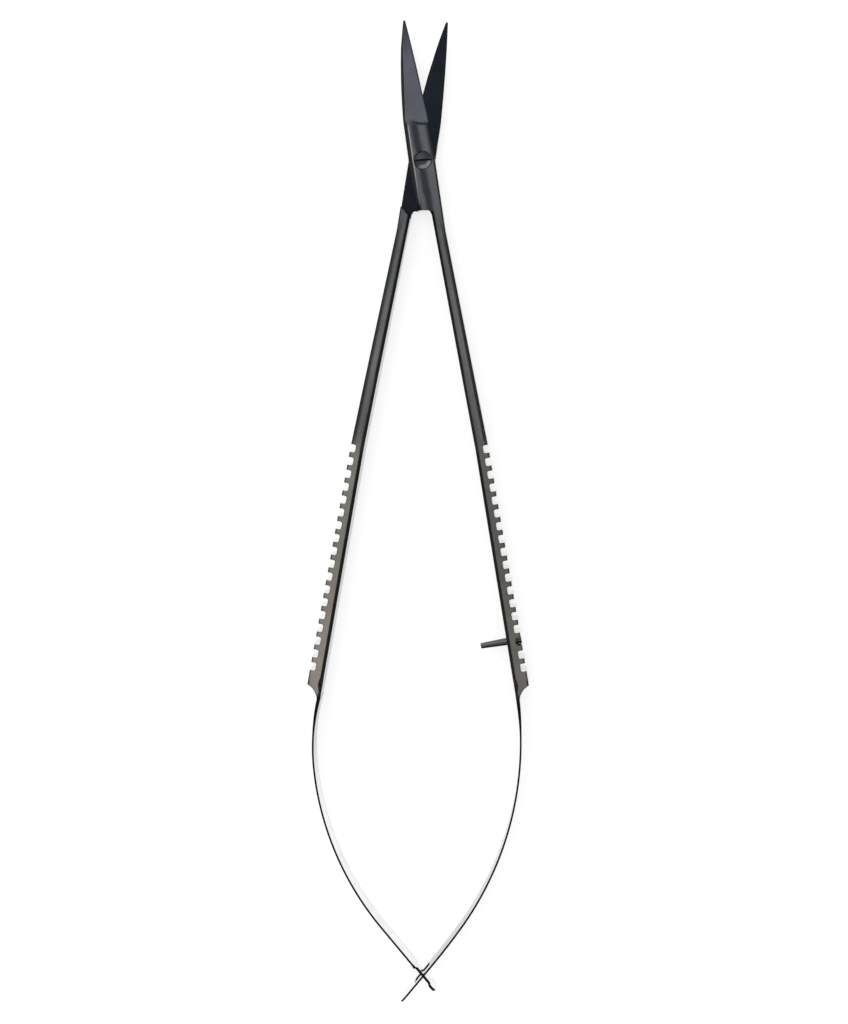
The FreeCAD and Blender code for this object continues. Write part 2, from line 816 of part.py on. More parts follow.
def round_end(body, size, side, own, other):
    """Round the upper and lower corners of the leaf's free end."""
    sketch = face_sketch(body, size, "end_corners", side, own, other)
    half = size.leaf_end_height / 2
    end = own.reach
    root = size.end_round
    past = end + root
    above = half + root
    bow = -bow_of(root, as_value(90))
    # The sketch's x runs up the right-hand leaf and down the left-hand one
    draw_outline(sketch, [
        (end - root, half, bow),
        (end, half - root),
        (past, half - root),
        (past, above),
        (end - root, above),
    ], -side)
    draw_outline(sketch, [
        (end - root, -above),
        (past, -above),
        (past, root - half),
        (end, root - half, bow),
        (end - root, -half),
    ], -side)
    return pocket(body, sketch, "rounded_end", root, centred=True)


def cut_slot(body, size, own, other):
    """Slot through the tail that the other leaf's neck passes through."""
    sketch = face_sketch(body, size, "slot", 1, own, other)
    half_length = size.slot_length / 2
    half_height = size.slot_height / 2
    draw_outline(sketch, [
        (-half_length, -half_height),
        (half_length, -half_height),
        (half_length, half_height),
        (-half_length, half_height),
    ])
    return pocket(body, sketch, "slot_cut", size.slot_height, centred=True)


def cut_neck(body, size, own, other):
    """Narrow the tail to a neck above and below, which leaves a wider head at its end."""
    sketch = face_sketch(body, size, "neck", -1, own, other)
    half_length = size.neck_length / 2
    for sign in (1, -1):
        draw_outline(sketch, [
            (-half_length, sign * size.neck_height / 2),
            (half_length, sign * size.neck_height / 2),
            (half_length, sign * size.leaf_root_height),
            (-half_length, sign * size.leaf_root_height),
        ])
    return pocket(body, sketch, "neck_cut", size.slot_height, centred=True)


def check(doc, bodies):
    """Stop if anything failed to build."""
    failed = [item.Name for item in doc.Objects if "Invalid" in item.State or "Error" in item.State]
    if failed:
        raise RuntimeError(f"these did not build: {failed}")
    for body in bodies:
        if body.Shape.isNull() or not body.Shape.isValid() or len(body.Shape.Solids) != 1:
            raise RuntimeError(f"{body.Label} is not one valid solid")


def main():
    doc = FreeCAD.newDocument("micro_scissors")
    size = fill_sheet(doc)
    slotted = LeafLine(size, "slotted")
    tongue = LeafLine(size, "tongue")
    front = build_arm(doc, size, "front_arm", "front", 1)
    finish_front_arm(front, size)
    back = build_arm(doc, size, "back_arm", "back", -1)
    finish_back_arm(back, size)
    slotted_leaf = build_leaf(doc, size, "slotted_leaf", 1, slotted, tongue)
    cut_slot(slotted_leaf, size, slotted, tongue)
    tongue_leaf = build_leaf(doc, size, "tongue_leaf", -1, tongue, slotted)
    cut_neck(tongue_leaf, size, tongue, slotted)
    screw = build_screw(doc, size)
    pin = build_pin(doc, size)
    doc.recompute()

    # The part lies on its grips' lower faces, its origin under the middle of its length
    leaf_end = slotted.along(tail_to_crossing(slotted, tongue) + slotted.reach)
    lowest = slotted.beside(leaf_end, slotted.final, size.leaf_thickness / 2)[1]
    pivot_up = -(size.front_tip_up + lowest) / 2
    middle_height = size.grip_height / 2
    for body in (front, back, slotted_leaf, tongue_leaf):
        place(body, 0, pivot_up, middle_height)
    place(screw, size.pivot_shift, pivot_up, middle_height)
    down = size.tooth_spacing * size.pin_tooth
    place(pin, size.grip_out + down * sine(size.grip_angle),
          pivot_up - size.grip_down - down * cosine(size.grip_angle), middle_height, turn=size.grip_angle)
    doc.recompute()

    bodies = (front, back, slotted_leaf, tongue_leaf, screw, pin)
    check(doc, bodies)
    os.makedirs("parts", exist_ok=True)
    for body in bodies:
        body.Shape.exportStep(f"parts/{body.Label}.step")
    print("pivot", round(size.pivot_shift.number, 4), round(pivot_up.number, 4), middle_height.number)
    print("leaf root", round(size.root_out.number, 4), round(pivot_up.number - size.root_down.number, 4))
    print("length", round(size.front_tip_up.number - lowest.number, 3))


main()
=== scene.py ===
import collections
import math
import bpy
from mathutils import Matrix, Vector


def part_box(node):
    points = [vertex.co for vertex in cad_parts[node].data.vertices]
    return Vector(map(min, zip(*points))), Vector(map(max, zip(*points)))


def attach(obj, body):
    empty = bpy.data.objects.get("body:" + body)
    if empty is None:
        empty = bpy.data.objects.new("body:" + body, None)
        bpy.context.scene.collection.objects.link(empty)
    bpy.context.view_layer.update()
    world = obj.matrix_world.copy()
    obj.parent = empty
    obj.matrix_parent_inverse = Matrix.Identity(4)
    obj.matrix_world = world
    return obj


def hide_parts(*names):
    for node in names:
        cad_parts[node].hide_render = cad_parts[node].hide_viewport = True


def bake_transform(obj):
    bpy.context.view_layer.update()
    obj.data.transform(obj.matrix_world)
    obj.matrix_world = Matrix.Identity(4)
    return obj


bl_info = {
    "name": "Micro Scissors",
    "version": (1, 0, 0),
    "blender": (4, 5, 0),
    "location": "3D Viewport > Sidebar > Micro Scissors",
    "description": "Spring-action micro scissors: arms, crossed leaf springs, slotted screw and stop pin",
    "category": "Object",
}

import bmesh
import bpy
import numpy as np

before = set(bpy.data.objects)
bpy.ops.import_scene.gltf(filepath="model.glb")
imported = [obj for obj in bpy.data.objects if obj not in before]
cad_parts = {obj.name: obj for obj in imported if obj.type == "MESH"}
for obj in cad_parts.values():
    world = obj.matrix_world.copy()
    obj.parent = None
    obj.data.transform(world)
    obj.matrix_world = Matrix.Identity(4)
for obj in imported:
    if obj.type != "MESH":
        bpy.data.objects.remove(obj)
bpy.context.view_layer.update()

MM = 0.001
MIDDLE_HEIGHT = 2.6 * MM
PIVOT = (0.2 * MM, 53.5208 * MM)
LEAF_ROOT = (15.1968 * MM, -28.7739 * MM)
LAMP_PLACE = (-140 * MM, 240 * MM, 550 * MM)
SMALLEST_STEP = 1e-7
SHARP_ANGLE = math.radians(50)

# Rows of a leaf, as shares of its middle band and of the way from there to its long edge
MIDDLE_ROWS = np.array([-0.5, 0, 0.5])
OUTER_ROWS = np.array([0, 0.35, 0.7, 1])

# Stretches of Y over which one colour of the arms turns into the next
GRIP_TURN = (12 * MM, 8 * MM)
TAIL_TURN = (-4 * MM, -29 * MM)
LOW_SHANK_TURN = (PIVOT[1] - 16 * MM, PIVOT[1] - 32 * MM)
BLADE_TURN = (PIVOT[1] + 5.3 * MM, PIVOT[1] + 6.1 * MM)
TIP_TURN = (PIVOT[1] + 10 * MM, PIVOT[1] + 19 * MM)
BOX_FOOT = (PIVOT[1] - 11 * MM, PIVOT[1] - 7 * MM)
BOX_TOP = (PIVOT[1] + 6.5 * MM, PIVOT[1] + 5.5 * MM)
LAP_FOOT = (PIVOT[1] - 12 * MM, PIVOT[1] - 9 * MM)
BEVEL_TURN = (PIVOT[1] - 9 * MM, PIVOT[1] - 13 * MM)
RIDGE_TOP = (PIVOT[1] + 7 * MM, PIVOT[1] + 4 * MM)

# Stretches of how far a face looks up or down, from 0 on an upright wall to 1 on a flat face
WALL = (0.3, 0.1)
OFF_WALL = (0.1, 0.3)
OFF_FLAT = (0.97, 0.85)
FLAT = (0.9, 0.98)
FLAT_LAP = (0.8, 0.95)
LEAF_EDGE = (0.08, 0.3)

# What the arms' masks read at each point, and what differs between the two arms
Spot = collections.namedtuple("Spot", "where across along height upwards lengthwise")
ArmLook = collections.namedtuple("ArmLook", "grip tail crest_start crest_end bevel_share")


def length_value(name, words, millimetres):
    """Float property for a length, given in millimetres and kept in metres."""
    return bpy.props.FloatProperty(
        name=name, description=words, default=millimetres * MM, unit="LENGTH", subtype="DISTANCE", precision=5,
    )


def angle_value(name, words, degrees):
    """Float property for an angle, given in degrees and kept in radians."""
    return bpy.props.FloatProperty(
        name=name, description=words, default=math.radians(degrees), unit="ROTATION", subtype="ANGLE",
    )


def share_value(name, words, share):
    """Float property between 0 and 1."""
    return bpy.props.FloatProperty(
        name=name, description=words, default=share, min=0, max=1, subtype="FACTOR",
    )


def colour_value(name, words, colour):
    """Colour property, linear red, green and blue."""
    return bpy.props.FloatVectorProperty(
        name=name, description=words, default=colour, min=0, max=1, size=3, subtype="COLOR",
    )


# Sizes and colours


class SlottedLeafSizes(bpy.types.PropertyGroup):
    """The right arm's leaf spring, whose slot the other leaf hooks through."""

    start_angle: angle_value("Start Angle", "How far outwards the leaf leaves its root", 7.9)
    bow_radius: length_value("Bow Radius", "Radius of the bow next to the root", 48.5)
    bow_angle: angle_value("Bow Angle", "Turn of the bow next to the root", 43.5)
    run_radius: length_value("Run Radius", "Radius of the flatter run after the bow", 109)
    run_angle: angle_value("Run Angle", "Turn of the flatter run", 3.9)
    reach: length_value("Reach", "Straight end past the point where the leaves cross", 5.2)
    hole_length: length_value("Slot Length", "Length of the slot along the leaf", 3.4)
    hole_height: length_value("Slot Height", "Height of the slot", 2.2)


class TongueLeafSizes(bpy.types.PropertyGroup):
    """The left arm's leaf spring, whose neck passes through the other leaf's slot."""

    start_angle: angle_value("Start Angle", "How far outwards the leaf leaves its root", 13)
    bow_radius: length_value("Bow Radius", "Radius of the bow next to the root", 31.7)
    bow_angle: angle_value("Bow Angle", "Turn of the bow next to the root", 20.1)
    run_radius: length_value("Run Radius", "Radius of the flatter run after the bow", 45.6)
    run_angle: angle_value("Run Angle", "Turn of the flatter run", 32.9)
    reach: length_value("Reach", "Straight end past the point where the leaves cross", 3.05)
    neck_length: length_value("Neck Length", "Length of the narrow neck", 3.5)
    neck_height: length_value("Neck Height", "Height of the narrow neck", 1.8)


class LeafStock(bpy.types.PropertyGroup):
    """What both leaf springs share."""

    thickness: length_value("Thickness", "Thickness of the sprung part", 0.28)
    root_thickness: length_value("Root Thickness", "Thickness where the leaf grows out of the arm", 0.54)
    thinning: length_value("Thinning", "Length over which the root thins to the sprung part", 6)
    hook_thickness: length_value("Hook Thickness", "Thickness of the tongue's neck and head", 0.4)
    lap: length_value("Lap", "How far the leaf reaches up into the arm's tail", 0.5)
    root_height: length_value("Root Height", "Height at the root", 4.2)
    end_height: length_value("End Height", "Height at the free end", 3.3)
    end_round: length_value("End Round", "Corner radius of the free end", 1.1)
    edge_round: length_value("Edge Round", "Rounding of the long edges", 0.05)
    stiff_end: length_value("Straight End", "Length before the crossing that keeps its shape", 12)


class ScrewSizes(bpy.types.PropertyGroup):
    """Slotted pivot screw."""

    head_diameter: length_value("Head Diameter", "Diameter of the head", 2.6)
    head_height: length_value("Head Height", "Height of the head", 0.5)
    dome: length_value("Dome", "Fall of the domed top from its middle to its rim", 0.2)
    rim_round: length_value("Rim Round", "Rounding of the head's rim", 0.06)
    bearing_diameter: length_value("Bearing Diameter", "Diameter under the head", 1.9)
    thread_diameter: length_value("Thread Diameter", "Diameter of the threaded end", 1.6)
    thread_length: length_value("Thread Length", "Length of the threaded end", 1.6)
    end_bevel: length_value("End Bevel", "Broken edge of the threaded end", 0.12)
    slot_width: length_value("Slot Width", "Width of the driver slot", 0.3)
    slot_depth: length_value("Slot Depth", "Depth of the driver slot", 0.32)
    slot_angle: angle_value("Slot Angle", "Turn of the driver slot", 6)


class Finishes(bpy.types.PropertyGroup):
    """Colours and roughness of the steels."""

    shank: colour_value("Shank", "Blue grey at the top of the shanks", (0.064, 0.068, 0.071))
    low_shank: colour_value("Low Shank", "Warmer grey lower down the shanks", (0.1, 0.096, 0.091))
    # Near black painted as shade in bands along the lap box
    box_shade_band: colour_value("Box Shade Band", "Dark band along the ground lap box", (0.02, 0.022, 0.027))
    right_grip: colour_value("Right Grip", "Satin grey of the right grip", (0.1, 0.096, 0.09))
    left_grip: colour_value("Left Grip", "Lighter grey of the left grip", (0.165, 0.157, 0.138))
    right_tail: colour_value("Right Tail", "Grey of the right grip's lower end", (0.146, 0.138, 0.124))
    left_tail: colour_value("Left Tail", "Pale grey-brown of the left grip's lower end", (0.26, 0.23, 0.2))
    wall: colour_value("Wall", "Grey of the polished side walls", (0.28, 0.28, 0.28))
    notch: colour_value("Notch", "Bare steel where the notches are cut", (0.8, 0.8, 0.79))
    blade: colour_value("Blade", "Blue grey of the ground blades", (0.125, 0.137, 0.158))
    blade_tip: colour_value("Blade Tip", "Lighter blue grey towards the blades' tips", (0.22, 0.233, 0.29))
    lap_face: colour_value("Lap Face", "Near black of the ground lap faces", (0.006, 0.0078, 0.0105))
    # Dark grey painted as shade on the bevels, along the shanks' outer edges and round the grips' tops
    bevel: colour_value("Bevel", "Dark grey of the broken edges", (0.02, 0.0205, 0.022))
    # Bare steel on truly worn edges, also painted as highlight on the box's ridge, the blade step, the screw's
    # crescent and the pin's upper side
    worn: colour_value("Worn Edge", "Bare steel on the rubbed edges", (0.42, 0.43, 0.44))
    leaf: colour_value("Leaf", "Pale grey of the leaf springs", (0.84, 0.84, 0.83))
    # Darker grey painted as shade on the slotted leaf right of the crossing
    shaded_leaf: colour_value("Shaded Leaf", "Duller grey of the slotted leaf", (0.45, 0.45, 0.44))
    # Near black painted as shade: the leaves' up- and down-facing edges, the tails' wedges, the screw slot and
    # the pin's lower side
    deep_shade: colour_value("Deep Shade", "Blued dark brown of the leaf springs' edges", (0.009, 0.007, 0.007))
    screw: colour_value("Screw", "Dark grey of the pivot screw", (0.034, 0.036, 0.042))
    pin: colour_value("Pin", "Grey of the stop pin", (0.062, 0.062, 0.063))
    satin: share_value("Satin Roughness", "Roughness of the satin steel", 0.36)
    ground: share_value("Ground Roughness", "Roughness of the ground faces", 0.26)
    polished: share_value("Polished Roughness", "Roughness of the side walls and leaves", 0.13)


class StageSizes(bpy.types.PropertyGroup):
    """Camera, floor and light."""

    lens: bpy.props.FloatProperty(name="Lens", description="Focal length in mm", default=57.55)
    camera_height: length_value("Camera Height", "Height of the camera over the scissors' middle", 251.2)
    camera_x: length_value("Camera X", "Place of the camera over the scissors", 15.24)
    camera_y: length_value("Camera Y", "Place of the camera over the scissors", 17.1)
    camera_roll: angle_value("Camera Roll", "Turn of the camera about its view", 0.33)
    shift_x: bpy.props.FloatProperty(name="Shift X", description="Sideways lens shift", default=-96 / 1024)
    shift_y: bpy.props.FloatProperty(name="Shift Y", description="Upright lens shift", default=-112.4 / 1024)
    floor_size: length_value("Floor Size", "Side of the square floor", 6000)
    floor: share_value("Floor", "Whiteness of the floor under the light", 0.36)
    floor_glow: share_value("Floor Glow", "White that camera and mirror rays find on the floor", 0.73)
    horizon: share_value("Horizon", "Brightness of the studio near the horizon", 0.5)
    zenith: share_value("Zenith", "Brightness of the studio overhead", 0.95)
    lamp_power: bpy.props.FloatProperty(
        name="Lamp Power", description="Power of the soft lamp", default=0.7, unit="POWER",
    )
    lamp_size: length_value("Lamp Size", "Side of the soft lamp", 350)


class ScissorsSizes(bpy.types.PropertyGroup):
    """Everything that a user may change."""

    slotted_leaf: bpy.props.PointerProperty(type=SlottedLeafSizes)
    tongue_leaf: bpy.props.PointerProperty(type=TongueLeafSizes)
    stock: bpy.props.PointerProperty(type=LeafStock)
    screw: bpy.props.PointerProperty(type=ScrewSizes)
    finish: bpy.props.PointerProperty(type=Finishes)
    stage: bpy.props.PointerProperty(type=StageSizes)


# Surfaces


def leaf_turns(line):
    """Headings, measured inwards from straight down, at the root, after the bow and after the run."""
    start = -line.start_angle
    turn = start + line.bow_angle
    return start, turn, turn + line.run_angle


def arc_end(place, radius, old, new):
    """End of an arc that turns from one heading to another: x and y change by radius times the change of
    the cosine and of the sine."""
    across = place[0] + radius * (math.cos(new) - math.cos(old))
    down = place[1] + radius * (math.sin(old) - math.sin(new))
    return across, down


def leaf_corners(line):
    """Root, end of the bow and end of the run of the right-hand form of a leaf's centre line."""
    start, turn, final = leaf_turns(line)
    bow_end = arc_end(LEAF_ROOT, line.bow_radius, start, turn)
    return LEAF_ROOT, bow_end, arc_end(bow_end, line.run_radius, turn, final)


def tail_length(own, other):
    """Length of the straight tail from its own arc's end to where it crosses the other leaf's tail.

    Both tails are straight lines, the other one mirrored about the middle, and the length solves the two
    linear equations of their crossing."""
    x, y = leaf_corners(own)[2]
    other_x, other_y = leaf_corners(other)[2]
    own_final = leaf_turns(own)[2]
    other_final = leaf_turns(other)[2]
    own_way = (-math.sin(own_final), -math.cos(own_final))
    other_way = (math.sin(other_final), -math.cos(other_final))
    gap = (-other_x - x, other_y - y)
    area = own_way[0] * other_way[1] - own_way[1] * other_way[0]
    return (gap[0] * other_way[1] - gap[1] * other_way[0]) / area


def leaf_line(line, side, places):
    """Centre line of a leaf at distances along it from the root.

    The heading grows evenly along the bow and the run and then stays, and each stretch adds radius times
    the change of its cosine and sine, or its length times its heading's direction. Distances below zero
    carry on straight back from the root. Gives x, y and heading as arrays."""
    start, _, final = leaf_turns(line)
    bow_length = line.bow_radius * line.bow_angle
    run_length = line.run_radius * line.run_angle
    back = np.minimum(places, 0)
    on_bow = np.clip(places, 0, bow_length)
    on_run = np.clip(places - bow_length, 0, run_length)
    on_tail = np.maximum(places - bow_length - run_length, 0)
    bow_heading = start + on_bow / line.bow_radius
    heading = bow_heading + on_run / line.run_radius
    x = LEAF_ROOT[0] + line.bow_radius * (np.cos(bow_heading) - math.cos(start))
    y = LEAF_ROOT[1] + line.bow_radius * (math.sin(start) - np.sin(bow_heading))
    x = x + line.run_radius * (np.cos(heading) - np.cos(bow_heading))
    y = y + line.run_radius * (np.sin(bow_heading) - np.sin(heading))
    x = x - on_tail * math.sin(final) - back * math.sin(start)
    y = y - on_tail * math.cos(final) - back * math.cos(start)
    return side * x, y, heading


def smooth_step(value, start, end):
    """0 before start, 1 after end and a smooth rise, 3 t squared minus 2 t cubed, between them."""
    share = np.clip((value - start) / (end - start), 0, 1)
    return share * share * (3 - 2 * share)


def new_object(name, points, faces):
    """Mesh object from arrays, with its doubles merged and its faces pointing outwards."""
    mesh = bpy.data.meshes.new(name)
    mesh.from_pydata(points.tolist(), [], faces.tolist())
    mesh.validate()
    shape = bmesh.new()
    shape.from_mesh(mesh)
    bmesh.ops.remove_doubles(shape, verts=shape.verts, dist=SMALLEST_STEP)
    bmesh.ops.recalc_face_normals(shape, faces=shape.faces)
    shape.to_mesh(mesh)
    shape.free()
    made = bpy.data.objects.new(name, mesh)
    bpy.context.scene.collection.objects.link(made)
    return made


def apply_modifiers(made):
    """Replace the mesh by the one that its modifiers give."""
    bpy.context.view_layer.update()
    graph = bpy.context.evaluated_depsgraph_get()
    finished = bpy.data.meshes.new_from_object(made.evaluated_get(graph))
    made.modifiers.clear()
    made.data = finished


def round_edges(made, width):
    """Round the sharp edges, and shade the faces smooth between the edges that are still sharp."""
    rounding = made.modifiers.new("rounding", "BEVEL")
    rounding.width = width
    rounding.segments = 2
    rounding.limit_method = "ANGLE"
    rounding.angle_limit = SHARP_ANGLE
    apply_modifiers(made)
    made.data.shade_smooth()
    made.data.set_sharp_from_angle(angle=SHARP_ANGLE)


def strip_faces(filled, columns, rows):
    """Faces of a thick strip whose two sides are grids of columns by rows and whose empty cells are holes.

    Each filled cell gives a face on both sides, and each edge between a filled and an empty cell gives a
    rim face from one side to the other."""
    index = np.arange(columns * rows).reshape(columns, rows)
    other = index + columns * rows
    near, up = index[:-1, :-1], index[:-1, 1:]
    far, far_up = index[1:, :-1], index[1:, 1:]
    front = np.stack([near, far, far_up, up], axis=-1)[filled]
    back = np.stack([near, up, far_up, far], axis=-1)[filled] + columns * rows
    padded = np.pad(filled, 1)
    along = padded[1:-1, 1:] != padded[1:-1, :-1]
    upright = padded[1:, 1:-1] != padded[:-1, 1:-1]
    along_rim = np.stack([index[:-1, :], index[1:, :], other[1:, :], other[:-1, :]], axis=-1)[along]
    upright_rim = np.stack([index[:, :-1], index[:, 1:], other[:, 1:], other[:, :-1]], axis=-1)[upright]
    return np.concatenate([front, back, along_rim, upright_rim])


def round_corner(distance, radius):
    """How far an outline with round corners has drawn in at a distance before its end: the radius less the
    root of radius squared minus the square of what the distance is short of the radius."""
    short = np.clip(radius - distance, 0, radius)
    return radius - np.sqrt(radius ** 2 - short ** 2)


def leaf_outline(own, stock, crossing, end, places):
    """Half height of a leaf along it: an even taper, a narrow neck about the crossing and a round end."""
    taper = np.clip(places / (end - stock.end_round), 0, 1)
    half = (stock.root_height + (stock.end_height - stock.root_height) * taper) / 2
    half = half - round_corner(end - places, stock.end_round)
    if hasattr(own, "neck_length"):
        from_middle = np.abs(places - crossing)
        ramp = 0.25 * MM
        narrow = 1 - smooth_step(from_middle, own.neck_length / 2 - ramp, own.neck_length / 2)
        half = half + (own.neck_height / 2 - half) * narrow
    return half


def leaf_hole(own, crossing, places):
    """Half height of the middle band, which is the slot where the leaf has one."""
    if not hasattr(own, "hole_length"):
        return np.full_like(places, own.neck_height / 4)
    corner = 0.35 * MM
    half_length = own.hole_length / 2
    inside = np.clip(half_length - np.abs(places - crossing), 0, None)
    return own.hole_height / 2 - round_corner(inside, corner)


def leaf_places(own, stock, crossing, end):
    """Distances along a leaf for its columns: even ones, closer ones at the crossing and, at the round end,
    ones that close up as the sine of an even angle."""
    before = crossing - 3 * MM
    after = crossing + 2.6 * MM
    run = np.linspace(-stock.lap, before, 150)
    near = np.linspace(before, after, 57)
    round_part = np.sin(np.linspace(0, math.pi / 2, 16))
    last = end - stock.end_round * (1 - round_part)
    between = np.linspace(after, end - stock.end_round, 8)
    places = np.concatenate([run, near, between, last])
    marks = []
    if hasattr(own, "hole_length"):
        marks = [crossing - own.hole_length / 2, crossing + own.hole_length / 2]
    return np.unique(np.round(np.concatenate([places, marks]), 9))


def leaf_thickness(own, stock, crossing, places):
    """Half thickness along a leaf: it falls from the root's to the sprung part's, and grows at a hook."""
    thinning = smooth_step(places, -stock.lap, stock.thinning)
    half = (stock.root_thickness + (stock.thickness - stock.root_thickness) * thinning) / 2
    if hasattr(own, "neck_length"):
        neck_start = crossing - own.neck_length / 2
        hook = smooth_step(places, neck_start - 1 * MM, neck_start)
        half = half + (stock.hook_thickness / 2 - half) * hook
    return half


def leaf_heights(outline, hole):
    """Heights of a leaf's rows: shares of the middle band, and shares of the way from it to the outline."""
    outer = hole[:, None] + (outline - hole)[:, None] * OUTER_ROWS[None, :]
    inner = hole[:, None] * MIDDLE_ROWS[None, :]
    return np.concatenate([-outer[:, ::-1], inner, outer], axis=1)


def build_leaf(name, own, other, stock, side):
    """Leaf spring on edge: its centre line times its height, made thick to both sides.

    A point is the centre line's point plus half the thickness across it, at the middle height plus the
    row's height."""
    straight = tail_length(own, other)
    crossing = own.bow_radius * own.bow_angle + own.run_radius * own.run_angle + straight
    end = crossing + own.reach
    places = leaf_places(own, stock, crossing, end)
    x, y, heading = leaf_line(own, side, places)
    outline = leaf_outline(own, stock, crossing, end, places)
    hole = leaf_hole(own, crossing, places)
    heights = leaf_heights(outline, hole)
    half = leaf_thickness(own, stock, crossing, places)
    across_x = side * np.cos(heading) * half
    across_y = -np.sin(heading) * half
    columns, rows = heights.shape
    level = MIDDLE_HEIGHT + heights
    sides = []
    for sign in (1, -1):
        side_x = np.broadcast_to((x + sign * across_x)[:, None], level.shape)
        side_y = np.broadcast_to((y + sign * across_y)[:, None], level.shape)
        sides.append(np.stack([side_x, side_y, level], axis=-1).reshape(-1, 3))
    filled = np.ones((columns - 1, rows - 1), bool)
    if hasattr(own, "hole_length"):
        middle = (places[:-1] + places[1:]) / 2
        in_slot = np.abs(middle - crossing) < own.hole_length / 2
        filled[np.ix_(in_slot, np.arange(len(OUTER_ROWS) - 1, rows - len(OUTER_ROWS)))] = False
    faces = strip_faces(filled, columns, rows)
    made = new_object(name, np.concatenate(sides), faces)
    round_edges(made, stock.edge_round)
    return made, places, (x, y), crossing


def add_leaf(context, node, other, side, right_colour):
    """Build a leaf spring and give it its steel."""
    sizes = context.scene.micro_scissors
    stock = sizes.stock
    own = getattr(sizes, node)
    made, places, line, crossing = build_leaf(node + "_spring", own, getattr(sizes, other), stock, side)
    made.data.materials.append(leaf_steel(node + "_finish", right_colour))
    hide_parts(node)
    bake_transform(made)


def turned_surface(name, radii, levels, centre, segments=96):
    """Surface of revolution about an upright axis: each profile point's radius times the cosine and sine of
    an even angle, at the point's level. The profile starts and ends on the axis, which closes it."""
    angle = np.linspace(0, 2 * math.pi, segments, endpoint=False)
    x = centre[0] + radii[:, None] * np.cos(angle)[None, :]
    y = centre[1] + radii[:, None] * np.sin(angle)[None, :]
    z = np.broadcast_to(levels[:, None], x.shape)
    points = np.stack([x, y, z], axis=-1).reshape(-1, 3)
    index = np.arange(points.shape[0]).reshape(x.shape)
    after = np.roll(index, -1, axis=1)
    faces = np.stack([index[:-1], after[:-1], after[1:], index[1:]], axis=-1).reshape(-1, 4)
    return new_object(name, points, faces)


def screw_profile(sizes, low, high):
    """Radii and levels of the screw: a dome that falls with the radius squared, a quarter-round rim, the
    head's wall, the bearing and the thread, whose small V ridges are a triangle wave along it."""
    rim = sizes.head_diameter / 2
    edge = rim - sizes.rim_round
    dome_radii = np.linspace(0, edge, 24)
    dome_levels = high - sizes.dome * (dome_radii / edge) ** 2
    turn = np.linspace(0, math.pi / 2, 7)[1:]
    round_radii = edge + sizes.rim_round * np.sin(turn)
    round_levels = dome_levels[-1] - sizes.rim_round * (1 - np.cos(turn))
    bearing = sizes.bearing_diameter / 2
    thread = sizes.thread_diameter / 2
    thread_top = low + sizes.thread_length
    ridge_depth = 0.06 * MM
    ridge_points = 25
    ridge_levels = np.linspace(thread_top, low + sizes.end_bevel, ridge_points)
    ridge_radii = thread - ridge_depth * (np.arange(ridge_points) % 2)
    under = high - sizes.head_height
    radii = np.concatenate([
        dome_radii, round_radii, [rim, bearing, bearing, thread], ridge_radii, [thread - sizes.end_bevel, 0],
    ])
    levels = np.concatenate([
        dome_levels, round_levels, [under, under, thread_top, thread_top], ridge_levels, [low, low],
    ])
    return radii, levels


def cut_slot(made, sizes, high):
    """Cut the driver slot: a bar across the head, turned by the slot's angle, is taken away."""
    along, across = np.meshgrid([-1, 1], [-1, 1], indexing="ij")
    reach = sizes.head_diameter
    turn = sizes.slot_angle
    flat_x = (along * reach * math.cos(turn) - across * sizes.slot_width / 2 * math.sin(turn)).ravel()
    flat_y = (along * reach * math.sin(turn) + across * sizes.slot_width / 2 * math.cos(turn)).ravel()
    flat = np.stack([PIVOT[0] + flat_x, PIVOT[1] + flat_y], axis=-1)
    floor_level = np.full((4, 1), high - sizes.slot_depth)
    top_level = np.full((4, 1), high + sizes.slot_depth)
    points = np.concatenate([np.hstack([flat, floor_level]), np.hstack([flat, top_level])])
    faces = np.array([[0, 1, 3, 2], [4, 6, 7, 5], [0, 4, 5, 1], [1, 5, 7, 3], [3, 7, 6, 2], [2, 6, 4, 0]])
    bar = new_object("slot_bar", points, faces)
    cutter = made.modifiers.new("slot", "BOOLEAN")
    cutter.operation = "DIFFERENCE"
    cutter.solver = "EXACT"
    cutter.object = bar
    apply_modifiers(made)
    bpy.data.objects.remove(bar)


# Shader helpers


def feed(socket, value):
    """Link a socket's value into another socket, or set a plain one there."""
    if isinstance(value, bpy.types.NodeSocket):
        socket.id_data.links.new(value, socket)
    elif socket.type == "RGBA" and len(value) == 3:
        socket.default_value = (*value, 1)
    else:
        socket.default_value = value


def new_node(tree, kind, inputs=(), **settings):
    """Add a node, set its settings, and feed its inputs by name or number."""
    made = tree.nodes.new(kind)
    for name, value in settings.items():
        setattr(made, name, value)
    for name, value in dict(inputs).items():
        feed(made.inputs[name], value)
    return made


def maths(operation, *values):
    """One Math node, in the node tree of its first socket."""
    tree = next(value.id_data for value in values if isinstance(value, bpy.types.NodeSocket))
    return new_node(tree, "ShaderNodeMath", enumerate(values), operation=operation).outputs[0]


def less(first, second):
    """The first value less the second."""
    return maths("SUBTRACT", first, second)


def on_line(value, slope, start):
    """The value times the slope, plus the start."""
    return maths("MULTIPLY_ADD", value, slope, start)


def product(first, *others):
    """The values multiplied with each other."""
    for other in others:
        first = maths("MULTIPLY", first, other)
    return first


def mixed(share, first, second):
    """First colour where the share is 0 and the second where it is 1."""
    inputs = {0: share, 6: first, 7: second}
    return new_node(share.id_data, "ShaderNodeMix", inputs, data_type="RGBA").outputs[2]


def rise(value, start, end, low=0.0, high=1.0):
    """Smooth rise from low to high while the value goes from start to end."""
    inputs = {"Value": value, "From Min": start, "From Max": end, "To Min": low, "To Max": high}
    return new_node(value.id_data, "ShaderNodeMapRange", inputs, interpolation_type="SMOOTHSTEP").outputs[0]


